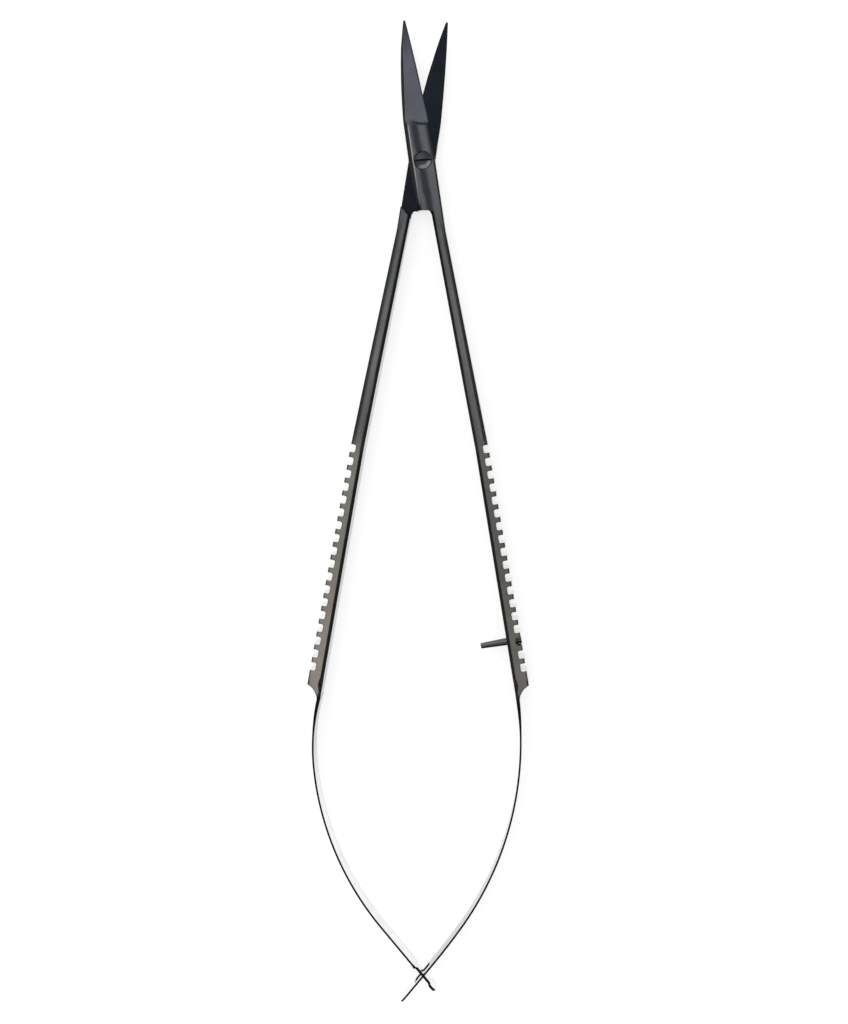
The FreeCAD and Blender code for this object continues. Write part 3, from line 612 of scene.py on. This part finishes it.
def noise(vector, scale, detail=2.0, roughness=0.5):
    """Noise between 0 and 1."""
    inputs = {"Vector": vector, "Scale": scale, "Detail": detail, "Roughness": roughness}
    return new_node(vector.id_data, "ShaderNodeTexNoise", inputs).outputs[0]


def split(vector):
    """X, Y and Z of a vector."""
    return tuple(new_node(vector.id_data, "ShaderNodeSeparateXYZ", {"Vector": vector}).outputs)


def bumped(height, strength, normal=None):
    """Normal turned by a height of up to a hundredth of a millimetre."""
    inputs = {"Height": height, "Strength": strength, "Distance": 0.01 * MM}
    if normal is not None:
        inputs["Normal"] = normal
    return new_node(height.id_data, "ShaderNodeBump", inputs).outputs["Normal"]


def new_group(name, inputs, outputs):
    """Empty shader node group with named sockets. Gives the group, its inner inputs and its outputs."""
    tree = bpy.data.node_groups.new(name, "ShaderNodeTree")
    kinds = {"value": "NodeSocketFloat", "vector": "NodeSocketVector", "colour": "NodeSocketColor"}
    for way, sockets in (("INPUT", inputs), ("OUTPUT", outputs)):
        for label, kind in sockets.items():
            tree.interface.new_socket(label, in_out=way, socket_type=kinds[kind])
    return tree, tree.nodes.new("NodeGroupInput").outputs, tree.nodes.new("NodeGroupOutput").inputs


def group_node(builder, inputs):
    """Place a node group, which is built the first time, and feed its inputs. Gives its outputs."""
    name = builder.__name__.replace("_", " ").title()
    if name not in bpy.data.node_groups:
        builder(name)
    group = bpy.data.node_groups[name]
    return new_node(inputs["Vector"].id_data, "ShaderNodeGroup", inputs, node_tree=group).outputs


def brushed_grain(name):
    """Fine grain and long scratches of brushed steel. Puts out a height and a shade, both about 0.5."""
    inputs = {"Vector": "vector", "Grain Scale": "value", "Scratch Scale": "value", "Scratches": "value"}
    tree, given, result = new_group(name, inputs, {"Height": "value", "Shade": "value"})
    stretch = {"Vector": given["Vector"], "Scale": (1, 0.05, 0.6)}
    stretched = new_node(tree, "ShaderNodeMapping", stretch).outputs[0]
    grain = noise(given["Vector"], given["Grain Scale"], 3, 0.6)
    scratches = noise(stretched, given["Scratch Scale"], 4, 0.7)
    lines = product(rise(scratches, 0.56, 0.7), given["Scratches"])
    feed(result["Height"], less(grain, lines))
    feed(result["Shade"], on_line(lines, 0.5, grain))


def edge_rub(name):
    """Rounds the normal near edges and masks where the edge is. The mask is one less the dot product of the
    rounded normal with the face's own, made steeper."""
    inputs = {"Radius": "value", "Vector": "vector"}
    outputs = {"Edge": "value", "Worn": "value", "Normal": "vector"}
    tree, given, result = new_group(name, inputs, outputs)
    rounded = new_node(tree, "ShaderNodeBevel", {"Radius": given["Radius"]}, samples=6).outputs[0]
    plain = new_node(tree, "ShaderNodeNewGeometry").outputs["Normal"]
    dot = new_node(tree, "ShaderNodeVectorMath", {0: rounded, 1: plain}, operation="DOT_PRODUCT")
    edge = rise(less(1.0, dot.outputs["Value"]), 0.01, 0.16)
    patches = noise(given["Vector"], 900.0, 4, 0.65)
    feed(result["Edge"], edge)
    feed(result["Worn"], product(edge, rise(patches, 0.5, 0.68)))
    feed(result["Normal"], rounded)


def tint_drift(name):
    """Slow change of tone over the surface. Multiplies the colour by a value that drifts about 1."""
    inputs = {"Color": "colour", "Vector": "vector", "Scale": "value", "Amount": "value"}
    tree, given, result = new_group(name, inputs, {"Color": "colour"})
    drift = noise(given["Vector"], given["Scale"], 3, 0.6)
    factor = on_line(less(drift, 0.5), given["Amount"], 1.0)
    scaled = new_node(tree, "ShaderNodeVectorMath", {0: given["Color"], "Scale": factor}, operation="SCALE")
    feed(result["Color"], scaled.outputs[0])


def turned_rings(name):
    """Rings that a lathe tool leaves: the sine of the distance from an upright axis, as a height."""
    inputs = {"Vector": "vector", "Centre": "vector", "Pitch": "value"}
    tree, given, result = new_group(name, inputs, {"Height": "value"})
    in_plane = {0: given["Vector"], 1: (1, 1, 0)}
    flat = new_node(tree, "ShaderNodeVectorMath", in_plane, operation="MULTIPLY").outputs[0]
    ends = {0: flat, 1: given["Centre"]}
    away = new_node(tree, "ShaderNodeVectorMath", ends, operation="DISTANCE").outputs["Value"]
    wave = maths("SINE", product(maths("DIVIDE", away, given["Pitch"]), 2 * math.pi))
    feed(result["Height"], on_line(wave, 0.5, 0.5))


# Steels


def new_steel(name):
    """Material with nodes, its Principled BSDF and its texture coordinates."""
    material = bpy.data.materials.new(name)
    material.use_nodes = True
    surface = material.node_tree.nodes["Principled BSDF"]
    surface.inputs["Metallic"].default_value = 1.0
    return material, surface, new_node(material.node_tree, "ShaderNodeTexCoord").outputs


def finish_steel(surface, where, colour, roughness, grain, strength, normal=None):
    """Shared end of each steel: drifting and streaked tone, scratches in the roughness, and the grain as a
    bump. The grain is its scale, the scratches' scale and how deep they are. Gives the normal."""
    for scale, amount in ((260.0, 0.5), (2400.0, 0.3)):
        drift = {"Color": colour, "Vector": where, "Scale": scale, "Amount": amount}
        colour = group_node(tint_drift, drift)["Color"]
    feed(surface.inputs["Base Color"], colour)
    names = ("Grain Scale", "Scratch Scale", "Scratches")
    brushed = group_node(brushed_grain, {"Vector": where, **dict(zip(names, grain))})
    change = less(brushed["Shade"], 0.5)
    feed(surface.inputs["Roughness"], on_line(change, 0.3, roughness))
    normal = bumped(brushed["Height"], strength, normal)
    feed(surface.inputs["Normal"], normal)
    return normal


def arm_spot(place):
    """What the arms' masks read: the point, its coordinates, how far the face looks up or down and how far
    it looks along the arm."""
    facing = split(place["Normal"])
    upwards = maths("ABSOLUTE", facing[2])
    lengthwise = maths("ABSOLUTE", facing[1])
    return Spot(place["Object"], *split(place["Object"]), upwards, lengthwise)


def ridge_distance(spot):
    """Distance to the right of the bright ridge along the lap box, a line that leans left going up."""
    lean = 0.1548
    ridge_at_pivot = 1.28 * MM
    up = less(spot.along, PIVOT[1])
    return maths("ADD", on_line(up, lean, spot.across), ridge_at_pivot)


def shank_light(spot, look):
    """Painted light and shade across the flat shank top, standing for a crowned section: 0 at its outer edge,
    1 on the lit crest and a little less towards the inner edge. The outer edge is a straight line, the same on
    both arms, that goes out evenly on the way down."""
    slope = 0.2042
    edge_at_neck = 3.7 * MM
    neck = PIVOT[1] - 10.6 * MM
    inner_light = 0.6
    down = less(neck, spot.along)
    edge = on_line(down, slope, edge_at_neck)
    short = less(edge, maths("ABSOLUTE", spot.across))
    inner = rise(short, look.crest_end + 0.1 * MM, 1.9 * MM, 1.0, inner_light)
    lit = product(rise(short, look.crest_start, look.crest_end), inner)
    above_neck = rise(down, 2 * MM, -3 * MM)
    return maths("MAXIMUM", lit, above_neck)


def tail_shade_wedge(spot):
    """1 on the wedge of painted shade that starts at the tail's inner edge and widens down to the leaf's root.
    The inner edge is a straight line, the same on both arms."""
    slope = 0.1685
    edge_at_middle = 10.1 * MM
    full_width = 0.65 * MM
    softness = 0.15 * MM
    edge = on_line(spot.along, -slope, edge_at_middle)
    inside = less(maths("ABSOLUTE", spot.across), edge)
    width = rise(spot.along, LEAF_ROOT[1] + 3.6 * MM, LEAF_ROOT[1] - 0.6 * MM, 0, full_width)
    wedge = rise(less(inside, width), softness, -softness)
    return product(wedge, rise(spot.along, LEAF_ROOT[1] + 4 * MM, LEAF_ROOT[1] + 2.6 * MM))


def right_edge_share(spot):
    """1 near the lap box's right edge above the pivot, where a band of painted shade goes. The edge is a line
    that leans left going up.
    """
    lean = 0.191
    edge_at_pivot = PIVOT[0] + 1.88 * MM
    up = less(spot.along, PIVOT[1])
    short = less(edge_at_pivot, on_line(up, lean, spot.across))
    return product(rise(short, 0.75 * MM, 0.35 * MM), rise(up, -1 * MM, 1 * MM))


def box_share(spot):
    """1 on the lap box and 0 on the blades and shanks."""
    return product(rise(spot.along, *BOX_FOOT), rise(spot.along, *BOX_TOP))


def lap_share(spot):
    """1 on the flat lap faces, which lie at the middle height."""
    off_middle = maths("ABSOLUTE", less(spot.height, MIDDLE_HEIGHT))
    at_middle = rise(off_middle, 0.25 * MM, 0.1 * MM)
    return product(at_middle, rise(spot.upwards, *FLAT_LAP), rise(spot.along, *LAP_FOOT))


def length_colour(finish, spot, look):
    """Colour by the place along the arm: shank with its painted shade and lit crest, grip, tail with its wedge
    of painted shade, and blade.
    """
    colour = mixed(rise(spot.along, *LOW_SHANK_TURN), finish.shank, finish.low_shank)
    # Painted shade at the shanks' outer edges and painted light on their crest
    colour = mixed(shank_light(spot, look), finish.bevel, colour)
    colour = mixed(rise(spot.along, *GRIP_TURN), colour, look.grip)
    colour = mixed(rise(spot.along, *TAIL_TURN), colour, look.tail)
    # Painted shade in a wedge along the tail's inner edge
    colour = mixed(tail_shade_wedge(spot), colour, finish.deep_shade)
    blade = mixed(rise(spot.along, *TIP_TURN), finish.blade, finish.blade_tip)
    return mixed(rise(spot.along, *BLADE_TURN), colour, blade)


def shade_banded_box(finish, spot, colour):
    """Two bands of painted shade on the lap box, standing for the shading of its crowned top: one right of the
    ridge, whose edge wanders, and one at the right edge.
    """
    slope = 0.045
    band_at_top = 1.02 * MM
    wander = 0.6 * MM
    right_amount = 0.8
    below = less(PIVOT[1] + 3 * MM, spot.along)
    band_line = on_line(below, slope, band_at_top)
    off_band = maths("ABSOLUTE", less(ridge_distance(spot), band_line))
    wandered = on_line(noise(spot.where, 450.0), wander, off_band)
    on_box = box_share(spot)
    colour = mixed(product(on_box, rise(wandered, 1.2 * MM, 0.5 * MM)), colour, finish.box_shade_band)
    return mixed(product(on_box, right_edge_share(spot), right_amount), colour, finish.box_shade_band)


def shaded_bevels(finish, spot, look, colour):
    """Painted shade on the slanted bevels. The step below the ground blade slants too, but faces along the arm
    and gets a painted highlight instead.
    """
    step_light = 0.22
    off_flat = rise(spot.upwards, *OFF_FLAT)
    off_step = rise(spot.lengthwise, 0.6, 0.3, 0.1, 1.0)
    on_shank = rise(spot.along, *BEVEL_TURN, 1.0, look.bevel_share)
    darkness = maths("MAXIMUM", on_shank, rise(spot.along, *GRIP_TURN))
    slanted = product(off_flat, rise(spot.upwards, *OFF_WALL), off_step, darkness)
    colour = mixed(slanted, colour, finish.bevel)
    # Painted highlight on the step below the ground blade
    step = product(off_flat, rise(spot.lengthwise, 0.3, 0.6), box_share(spot), step_light)
    return mixed(step, colour, finish.worn)


def worn_and_shaded_edges(finish, spot, colour):
    """Rubbed edges everywhere and a painted dark rim of shade round the grips' tops. The normal is rounded
    widely on the shanks' tops, less on the grips and least on the blades. Gives the colour and the normal."""
    grip_share = rise(spot.along, *GRIP_TURN)
    off_grip = less(1.0, grip_share)
    off_blade = less(1.0, rise(spot.along, *BLADE_TURN))
    on_top = rise(spot.upwards, *FLAT)
    radius = on_line(product(on_top, off_grip, off_blade), 0.3 * MM, 0.08 * MM)
    radius = on_line(grip_share, 0.2 * MM, radius)
    rub = group_node(edge_rub, {"Radius": radius, "Vector": spot.where})
    # Painted shade on the rim round the grips' tops
    rim = product(rise(rub["Edge"], 0.0, 0.5, 0.0, 0.9), grip_share, on_top)
    colour = mixed(rim, colour, finish.bevel)
    return mixed(product(rub["Worn"], 0.3), colour, finish.worn), rub["Normal"]


def painted_ridge_highlight(finish, spot, colour):
    """Painted highlight along the lap box's ridge, on the front arm's top."""
    amount = 0.45
    beside = rise(maths("ABSOLUTE", ridge_distance(spot)), 0.16 * MM, 0.02 * MM)
    on_top = rise(spot.height, 4 * MM, 4.1 * MM)
    ridge = product(beside, on_top, rise(spot.along, *RIDGE_TOP), box_share(spot), amount)
    return mixed(ridge, colour, finish.worn)


def arm_steel(name, look):
    """Steel of one arm: blue-grey ground blade, grey shank, grey-brown grip, dark lap faces, painted shade on
    the bevels, the shanks' edges and in bands on the lap box, and a painted highlight on the box's ridge. The
    upright walls are paler, and bare in the notches, where they face along the arm."""
    finish = bpy.context.scene.micro_scissors.finish
    material, surface, place = new_steel(name)
    spot = arm_spot(place)
    colour = length_colour(finish, spot, look)
    colour = shade_banded_box(finish, spot, colour)
    colour = shaded_bevels(finish, spot, look, colour)
    on_wall = rise(spot.upwards, *WALL)
    in_notch = rise(spot.lengthwise, 0.6, 0.8)
    colour = mixed(on_wall, colour, mixed(in_notch, finish.wall, finish.notch))
    lap = lap_share(spot)
    colour = mixed(lap, colour, finish.lap_face)
    colour, normal = worn_and_shaded_edges(finish, spot, colour)
    colour = painted_ridge_highlight(finish, spot, colour)
    ground = maths("MAXIMUM", lap, rise(spot.along, *BLADE_TURN))
    roughness = rise(ground, 0, 1, finish.satin, finish.ground)
    roughness = on_line(on_wall, finish.polished - finish.satin, roughness)
    finish_steel(surface, spot.where, colour, roughness, (5200.0, 3600.0, 0.5), 0.2, normal)
    return material


def leaf_steel(name, right_colour):
    """Steel of a leaf spring: pale polished faces, greyer at the root and, where a darker grey is given for
    the right, painted shade right of the crossing; near black is painted as shade on the edges where the faces
    look up or down."""
    finish = bpy.context.scene.micro_scissors.finish
    material, surface, place = new_steel(name)
    across, along = split(place["Object"])[:2]
    # Right of the crossing the given colour, on the slotted leaf a painted shade
    colour = mixed(rise(across, -1 * MM, 3 * MM), finish.leaf, right_colour)
    below_root = rise(along, LEAF_ROOT[1] - 1 * MM, LEAF_ROOT[1] - 16 * MM)
    colour = mixed(below_root, finish.wall, colour)
    upwards = maths("ABSOLUTE", split(place["Normal"])[2])
    # Painted shade on the edges that look up or down
    colour = mixed(rise(upwards, *LEAF_EDGE), colour, finish.deep_shade)
    finish_steel(surface, place["Object"], colour, finish.polished, (6000.0, 4200.0, 0.6), 0.1)
    return material


def slot_shade_and_highlight(finish, where, colour, high):
    """Painted shade below the head's top, in the driver slot, and a painted highlight, a lit crescent, on the
    head's lower right.
    """
    amount = 0.42
    across, along, height = split(where)
    right = less(across, PIVOT[0])
    down = less(PIVOT[1], along)
    slanting = on_line(right, 0.6, product(down, 0.8))
    away = maths("SQRT", maths("ADD", product(right, right), product(down, down)))
    near_rim = rise(away, 0.45 * MM, 0.95 * MM)
    crescent = product(near_rim, rise(slanting, 0.1 * MM, 0.8 * MM), amount)
    colour = mixed(crescent, colour, finish.worn)
    # Painted shade in the driver slot and below the head's top
    return mixed(rise(height, high - 0.21 * MM, high - 0.27 * MM), colour, finish.deep_shade)


def pin_light(finish, place, colour):
    """Painted light where the pin's side faces up the scissors, and painted shade, near black, where it faces
    down them.
    """
    up_light = 0.35
    facing = split(place["Normal"])[1]
    colour = mixed(rise(facing, 0.1, 0.9, 0.0, up_light), colour, finish.worn)
    return mixed(rise(facing, -0.1, -0.7), colour, finish.deep_shade)


def small_steel(name, colour, centre=None, high=0.0):
    """Steel of a small turned piece, with fine grain, rubbed edges, painted light and shade and, about a
    centre, lathe rings.
    """
    finish = bpy.context.scene.micro_scissors.finish
    material, surface, place = new_steel(name)
    where = place["Object"]
    rub = group_node(edge_rub, {"Radius": 0.1 * MM, "Vector": where})
    shade = mixed(product(rub["Worn"], 0.5), colour, finish.worn)
    if centre is None:
        shade = pin_light(finish, place, shade)
    else:
        shade = slot_shade_and_highlight(finish, where, shade, high)
    normal = finish_steel(surface, where, shade, finish.satin, (5200.0, 3000.0, 0.3), 0.3, rub["Normal"])
    if centre is not None:
        rings = group_node(turned_rings, {"Vector": where, "Centre": (*centre, 0), "Pitch": 0.09 * MM})
        feed(surface.inputs["Normal"], bumped(rings["Height"], 0.25, normal))
    return material


def dress(node, material):
    """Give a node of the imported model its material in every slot."""
    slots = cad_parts[node].material_slots
    if not slots:
        raise RuntimeError(f"{node} has no material slot")
    for slot in slots:
        slot.material = material


# Operators


class SCISSORS_OT_dress_arms(bpy.types.Operator):
    """Ground and satin steel on both arms"""

    bl_idname = "scissors.dress_arms"
    bl_label = "Dress Arms"

    def execute(self, context):
        finish = context.scene.micro_scissors.finish
        right = ArmLook(
            finish.right_grip, finish.right_tail, crest_start=0.38 * MM, crest_end=0.65 * MM, bevel_share=0.6,
        )
        left = ArmLook(
            finish.left_grip, finish.left_tail, crest_start=0.24 * MM, crest_end=0.85 * MM, bevel_share=0.8,
        )
        dress("front_arm", arm_steel("front_arm_finish", right))
        dress("back_arm", arm_steel("back_arm_finish", left))
        return {"FINISHED"}


class SCISSORS_OT_slotted_leaf(bpy.types.Operator):
    """Right leaf spring with the slot near its end"""

    bl_idname = "scissors.slotted_leaf"
    bl_label = "Slotted Leaf"

    def execute(self, context):
        shaded_grey = context.scene.micro_scissors.finish.shaded_leaf
        add_leaf(context, "slotted_leaf", "tongue_leaf", 1, shaded_grey)
        return {"FINISHED"}


class SCISSORS_OT_tongue_leaf(bpy.types.Operator):
    """Left leaf spring with the neck and the wider head"""

    bl_idname = "scissors.tongue_leaf"
    bl_label = "Tongue Leaf"

    def execute(self, context):
        pale = context.scene.micro_scissors.finish.leaf
        add_leaf(context, "tongue_leaf", "slotted_leaf", -1, pale)
        return {"FINISHED"}


class SCISSORS_OT_pivot_screw(bpy.types.Operator):
    """Domed pivot screw with a driver slot"""

    bl_idname = "scissors.pivot_screw"
    bl_label = "Pivot Screw"

    def execute(self, context):
        sizes = context.scene.micro_scissors
        low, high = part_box("pivot_screw")
        radii, levels = screw_profile(sizes.screw, low.z, high.z)
        made = turned_surface("pivot_screw_head", radii, levels, PIVOT)
        cut_slot(made, sizes.screw, high.z)
        round_edges(made, 0.02 * MM)
        made.data.materials.clear()
        made.data.materials.append(small_steel("screw_finish", sizes.finish.screw, PIVOT, high.z))
        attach(made, "back_arm")
        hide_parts("pivot_screw")
        return {"FINISHED"}


class SCISSORS_OT_stop_pin(bpy.types.Operator):
    """Steel on the stop pin"""

    bl_idname = "scissors.stop_pin"
    bl_label = "Stop Pin"

    def execute(self, context):
        finish = context.scene.micro_scissors.finish
        dress("stop_pin", small_steel("pin_finish", finish.pin))
        return {"FINISHED"}


class SCISSORS_OT_stage(bpy.types.Operator):
    """White floor, studio light and camera"""

    bl_idname = "scissors.stage"
    bl_label = "Stage"

    def execute(self, context):
        sizes = context.scene.micro_scissors.stage
        build_floor(sizes)
        build_light(context, sizes)
        build_camera(context, sizes)
        return {"FINISHED"}


def build_floor(sizes):
    """Flat square floor under the scissors. Its material is white to camera and mirror rays and keeps
    shadows."""
    half = sizes.floor_size / 2
    across, up = np.meshgrid(np.linspace(-half, half, 3), np.linspace(-half, half, 3), indexing="ij")
    points = np.stack([across, up, np.zeros_like(across)], axis=-1).reshape(-1, 3)
    index = np.arange(9).reshape(3, 3)
    faces = np.stack([index[:-1, :-1], index[1:, :-1], index[1:, 1:], index[:-1, 1:]], axis=-1).reshape(-1, 4)
    mesh = bpy.data.meshes.new("floor")
    mesh.from_pydata(points.tolist(), [], faces.tolist())
    floor = bpy.data.objects.new("floor", mesh)
    bpy.context.scene.collection.objects.link(floor)
    material = bpy.data.materials.new("floor_white")
    material.use_nodes = True
    tree = material.node_tree
    surface = tree.nodes["Principled BSDF"]
    surface.inputs["Base Color"].default_value = (sizes.floor, sizes.floor, sizes.floor, 1)
    surface.inputs["Roughness"].default_value = 1.0
    surface.inputs["Specular IOR Level"].default_value = 0.0
    surface.inputs["Emission Color"].default_value = (1, 1, 1, 1)
    path = new_node(tree, "ShaderNodeLightPath")
    mirrored = maths("MAXIMUM", path.outputs["Is Glossy Ray"], path.outputs["Is Transmission Ray"])
    seen = maths("MAXIMUM", path.outputs["Is Camera Ray"], mirrored)
    feed(surface.inputs["Emission Strength"], product(seen, sizes.floor_glow))
    mesh.materials.append(material)


def build_light(context, sizes):
    """Studio world, bright overhead and darker towards the horizon, and one soft lamp."""
    world = bpy.data.worlds.new("studio")
    context.scene.world = world
    world.use_nodes = True
    tree = world.node_tree
    way = new_node(tree, "ShaderNodeTexCoord").outputs["Generated"]
    strength = rise(split(way)[2], 0.1, 0.7, sizes.horizon, sizes.zenith)
    background = tree.nodes["Background"]
    background.inputs["Color"].default_value = (1, 1, 1, 1)
    feed(background.inputs["Strength"], strength)
    lamp = bpy.data.lights.new("soft_lamp", "AREA")
    lamp.shape = "SQUARE"
    lamp.size = sizes.lamp_size
    lamp.energy = sizes.lamp_power
    holder = bpy.data.objects.new("soft_lamp", lamp)
    holder.location = LAMP_PLACE
    holder.rotation_euler = (-holder.location).to_track_quat("-Z", "Y").to_euler()
    context.scene.collection.objects.link(holder)


def build_camera(context, sizes):
    """Camera that looks straight down from the right of the scissors, as the photograph does."""
    camera = bpy.data.cameras.new("camera")
    camera.sensor_width = 36
    camera.lens = sizes.lens
    camera.shift_x = sizes.shift_x
    camera.shift_y = sizes.shift_y
    camera.clip_start = 0.01
    holder = bpy.data.objects.new("camera", camera)
    holder.location = (sizes.camera_x, sizes.camera_y, MIDDLE_HEIGHT + sizes.camera_height)
    holder.rotation_euler = (0, 0, sizes.camera_roll)
    context.scene.collection.objects.link(holder)
    context.scene.camera = holder
    context.scene.view_settings.view_transform = "Standard"


class SCISSORS_PT_panel(bpy.types.Panel):
    """Sizes, finishes and pieces of the micro scissors"""

    bl_idname = "SCISSORS_PT_panel"
    bl_label = "Micro Scissors"
    bl_space_type = "VIEW_3D"
    bl_region_type = "UI"
    bl_category = "Micro Scissors"

    def draw(self, context):
        sizes = context.scene.micro_scissors
        for label in ("slotted_leaf", "tongue_leaf", "stock", "screw", "finish", "stage"):
            box = self.layout.box()
            group = getattr(sizes, label)
            box.label(text=label.replace("_", " ").title())
            for name in type(group).__annotations__:
                box.prop(group, name)
        for piece in PIECES:
            self.layout.operator(piece.bl_idname)


PIECES = (
    SCISSORS_OT_dress_arms,
    SCISSORS_OT_slotted_leaf,
    SCISSORS_OT_tongue_leaf,
    SCISSORS_OT_pivot_screw,
    SCISSORS_OT_stop_pin,
    SCISSORS_OT_stage,
)

CLASSES = (
    SlottedLeafSizes,
    TongueLeafSizes,
    LeafStock,
    ScrewSizes,
    Finishes,
    StageSizes,
    ScissorsSizes,
    *PIECES,
    SCISSORS_PT_panel,
)


def register():
    for made in CLASSES:
        bpy.utils.register_class(made)
    bpy.types.Scene.micro_scissors = bpy.props.PointerProperty(type=ScissorsSizes)


def unregister():
    del bpy.types.Scene.micro_scissors
    for made in reversed(CLASSES):
        bpy.utils.unregister_class(made)


def main():
    """Make every piece in order."""
    register()
    bpy.ops.scissors.stage()
    bpy.ops.scissors.dress_arms()
    bpy.ops.scissors.pivot_screw()
    bpy.ops.scissors.stop_pin()
    bpy.ops.scissors.slotted_leaf()
    bpy.ops.scissors.tongue_leaf()


if __name__ == "__main__":
    main()
